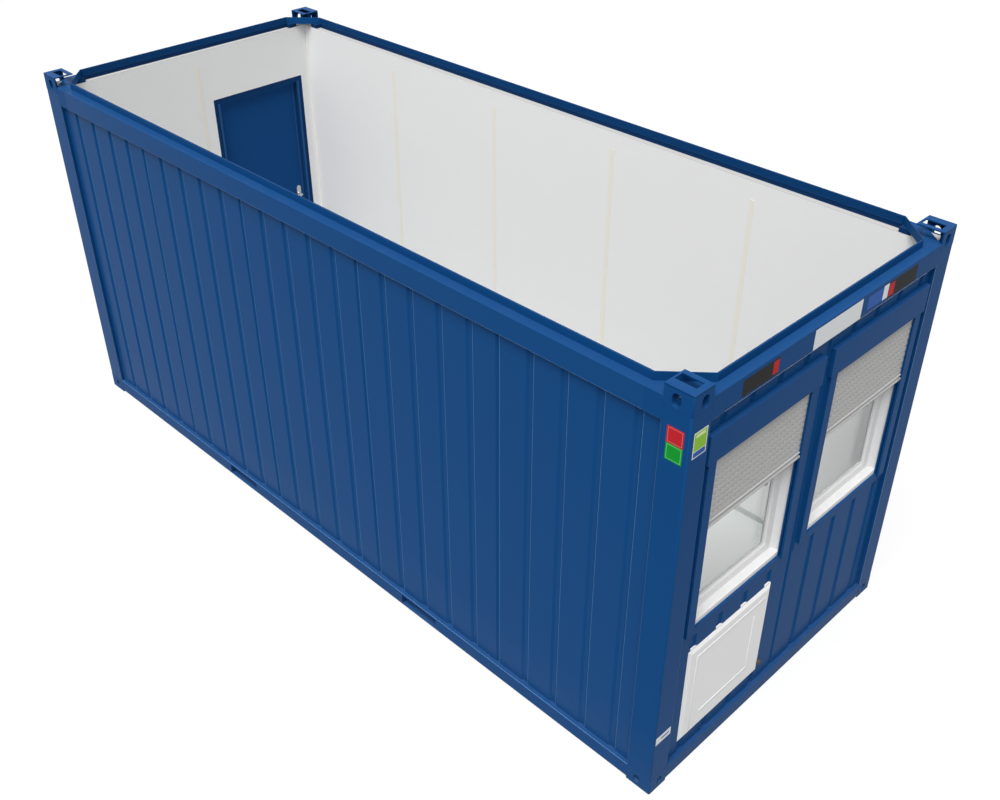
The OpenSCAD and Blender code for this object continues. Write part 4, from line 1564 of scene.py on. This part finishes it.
@dataclass
class Welds:
    """Weld beads where the posts stand on the castings."""

    bead: float = 0.0015
    sunk: float = 0.0017
    from_edge: float = 0.012

    def build(self) -> None:
        """Lays a bead on the two outer sides of each post's foot."""
        for end, across in (("door", -1), ("window", 1)):
            for side, back in (("front", -1), ("back", 1)):
                low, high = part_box(f"corner_post_{side}_{end}")
                x, y = across * (HALF_L - self.sunk), back * (HALF_W - self.sunk)
                beads = Shaper()
                beads.rod((low.x + self.from_edge, y, low.z), (high.x - self.from_edge, y, low.z),
                          self.bead, sides=10)
                beads.rod((x, low.y + self.from_edge, low.z), (x, high.y - self.from_edge, low.z),
                          self.bead, sides=10)
                beads.piece(f"corner_weld_{side}_{end}", SHELL_BLUE, "painted_blue", True)


@dataclass
class Studio:
    """The camera, the light and the floor."""

    position: tuple[float, float, float] = (5.3825, -4.7922, 5.6800)
    aim: tuple[float, float, float] = (55.361, 0.0, 45.011)
    lens: float = 41.44
    ambient: float = 0.55
    sun: float = 3.6
    sun_from: tuple[float, float, float] = (0.17, -0.41, 0.897)
    sun_wide: float = 35.0
    floor_lit: float = 0.10
    floor_glow: float = 0.87
    floor_bounce: float = 0.35
    floor_half: float = 60.0

    def build(self) -> None:
        """Sets up the view, the world, the sun and the floor."""
        self.camera()
        self.world()
        self.lamp()
        self.floor()

    def camera(self) -> None:
        """Places the camera."""
        lens = bpy.data.cameras.new("camera")
        lens.lens = self.lens
        lens.sensor_width = 36.0
        lens.clip_end = 200.0
        camera = bpy.data.objects.new("camera", lens)
        camera.location = self.position
        camera.rotation_euler = [math.radians(angle) for angle in self.aim]
        bpy.context.scene.collection.objects.link(camera)
        bpy.context.scene.camera = camera
        bpy.context.scene.view_settings.view_transform = "Standard"

    def seen(self, tree: Tree) -> bpy.types.NodeSocket:
        """Whether a ray shows the background, straight on or in gloss or glass.

        Args:
            tree: The tree that asks.

        Returns:
            The socket, 1 where it does.
        """
        path = tree.add("LightPath").outputs
        straight = tree.maths("ADD", path["Is Camera Ray"], path["Is Glossy Ray"], True)
        return tree.maths("ADD", straight, path["Is Transmission Ray"], True)

    def world(self) -> None:
        """Lights the scene evenly, and shows white behind it."""
        world = bpy.data.worlds.new("studio")
        bpy.context.scene.world = world
        world.use_nodes = True
        tree = Tree(world.node_tree)
        sky = world.node_tree.nodes["Background"].inputs
        sky["Color"].default_value = (1, 1, 1, 1)
        more = tree.maths("MULTIPLY", self.seen(tree), 1.0 - self.ambient)
        tree.join(tree.maths("ADD", more, self.ambient), sky["Strength"])

    def lamp(self) -> None:
        """Adds the soft sun."""
        light = bpy.data.lights.new("sun", "SUN")
        light.energy = self.sun
        light.angle = math.radians(self.sun_wide)
        sun = bpy.data.objects.new("sun", light)
        toward = Vector(self.sun_from)
        sun.rotation_euler = toward.to_track_quat("Z", "Y").to_euler()
        sun.location = toward * 10
        bpy.context.scene.collection.objects.link(sun)

    def floor(self) -> None:
        """Lays the white floor, which keeps the cabin's shadow."""
        mesh = bmesh.new()
        bmesh.ops.create_grid(mesh, x_segments=1, y_segments=1, size=self.floor_half)
        data = bpy.data.meshes.new("floor")
        mesh.to_mesh(data)
        mesh.free()
        floor = bpy.data.objects.new("floor", data)
        bpy.context.scene.collection.objects.link(floor)
        made = bpy.data.materials.new("studio_floor")
        made.use_nodes = True
        made.node_tree.nodes.clear()
        tree = Tree(made.node_tree)
        lit = tree.add("BsdfDiffuse", {"Color": (*(self.floor_lit,) * 3, 1)})
        glow = tree.add("Emission", {"Color": (1, 1, 1, 1), "Strength": self.floor_glow})
        both = tree.add("AddShader", {0: lit.outputs[0], 1: glow.outputs[0]})
        bounce = tree.add("BsdfDiffuse", {"Color": (*(self.floor_bounce,) * 3, 1)})
        mix = tree.add("MixShader", {0: self.seen(tree), 1: bounce.outputs[0],
                                     2: both.outputs[0]})
        tree.add("OutputMaterial", {"Surface": mix.outputs[0]})
        data.materials.append(made)


def main() -> None:
    """Builds the cabin's looks, one sub-assembly after another."""
    logging.basicConfig(level=logging.INFO, format="%(message)s")
    parts = (
        Studio(), Shell(), Lining(), Seals(), RailLips(), Folds(), SlotRims(), END_LABELS,
        FRONT_LABELS, Cover(), Window("left", -0.542), Window("right", 0.542), Door(), Welds(),
    )
    for part in parts:
        before = set(bpy.data.objects)
        part.build()
        made = sorted(o.name for o in set(bpy.data.objects) - before)
        LOG.info("%s: %s", type(part).__name__, ", ".join(made) or "finishes only")


if __name__ == "__main__":
    main()
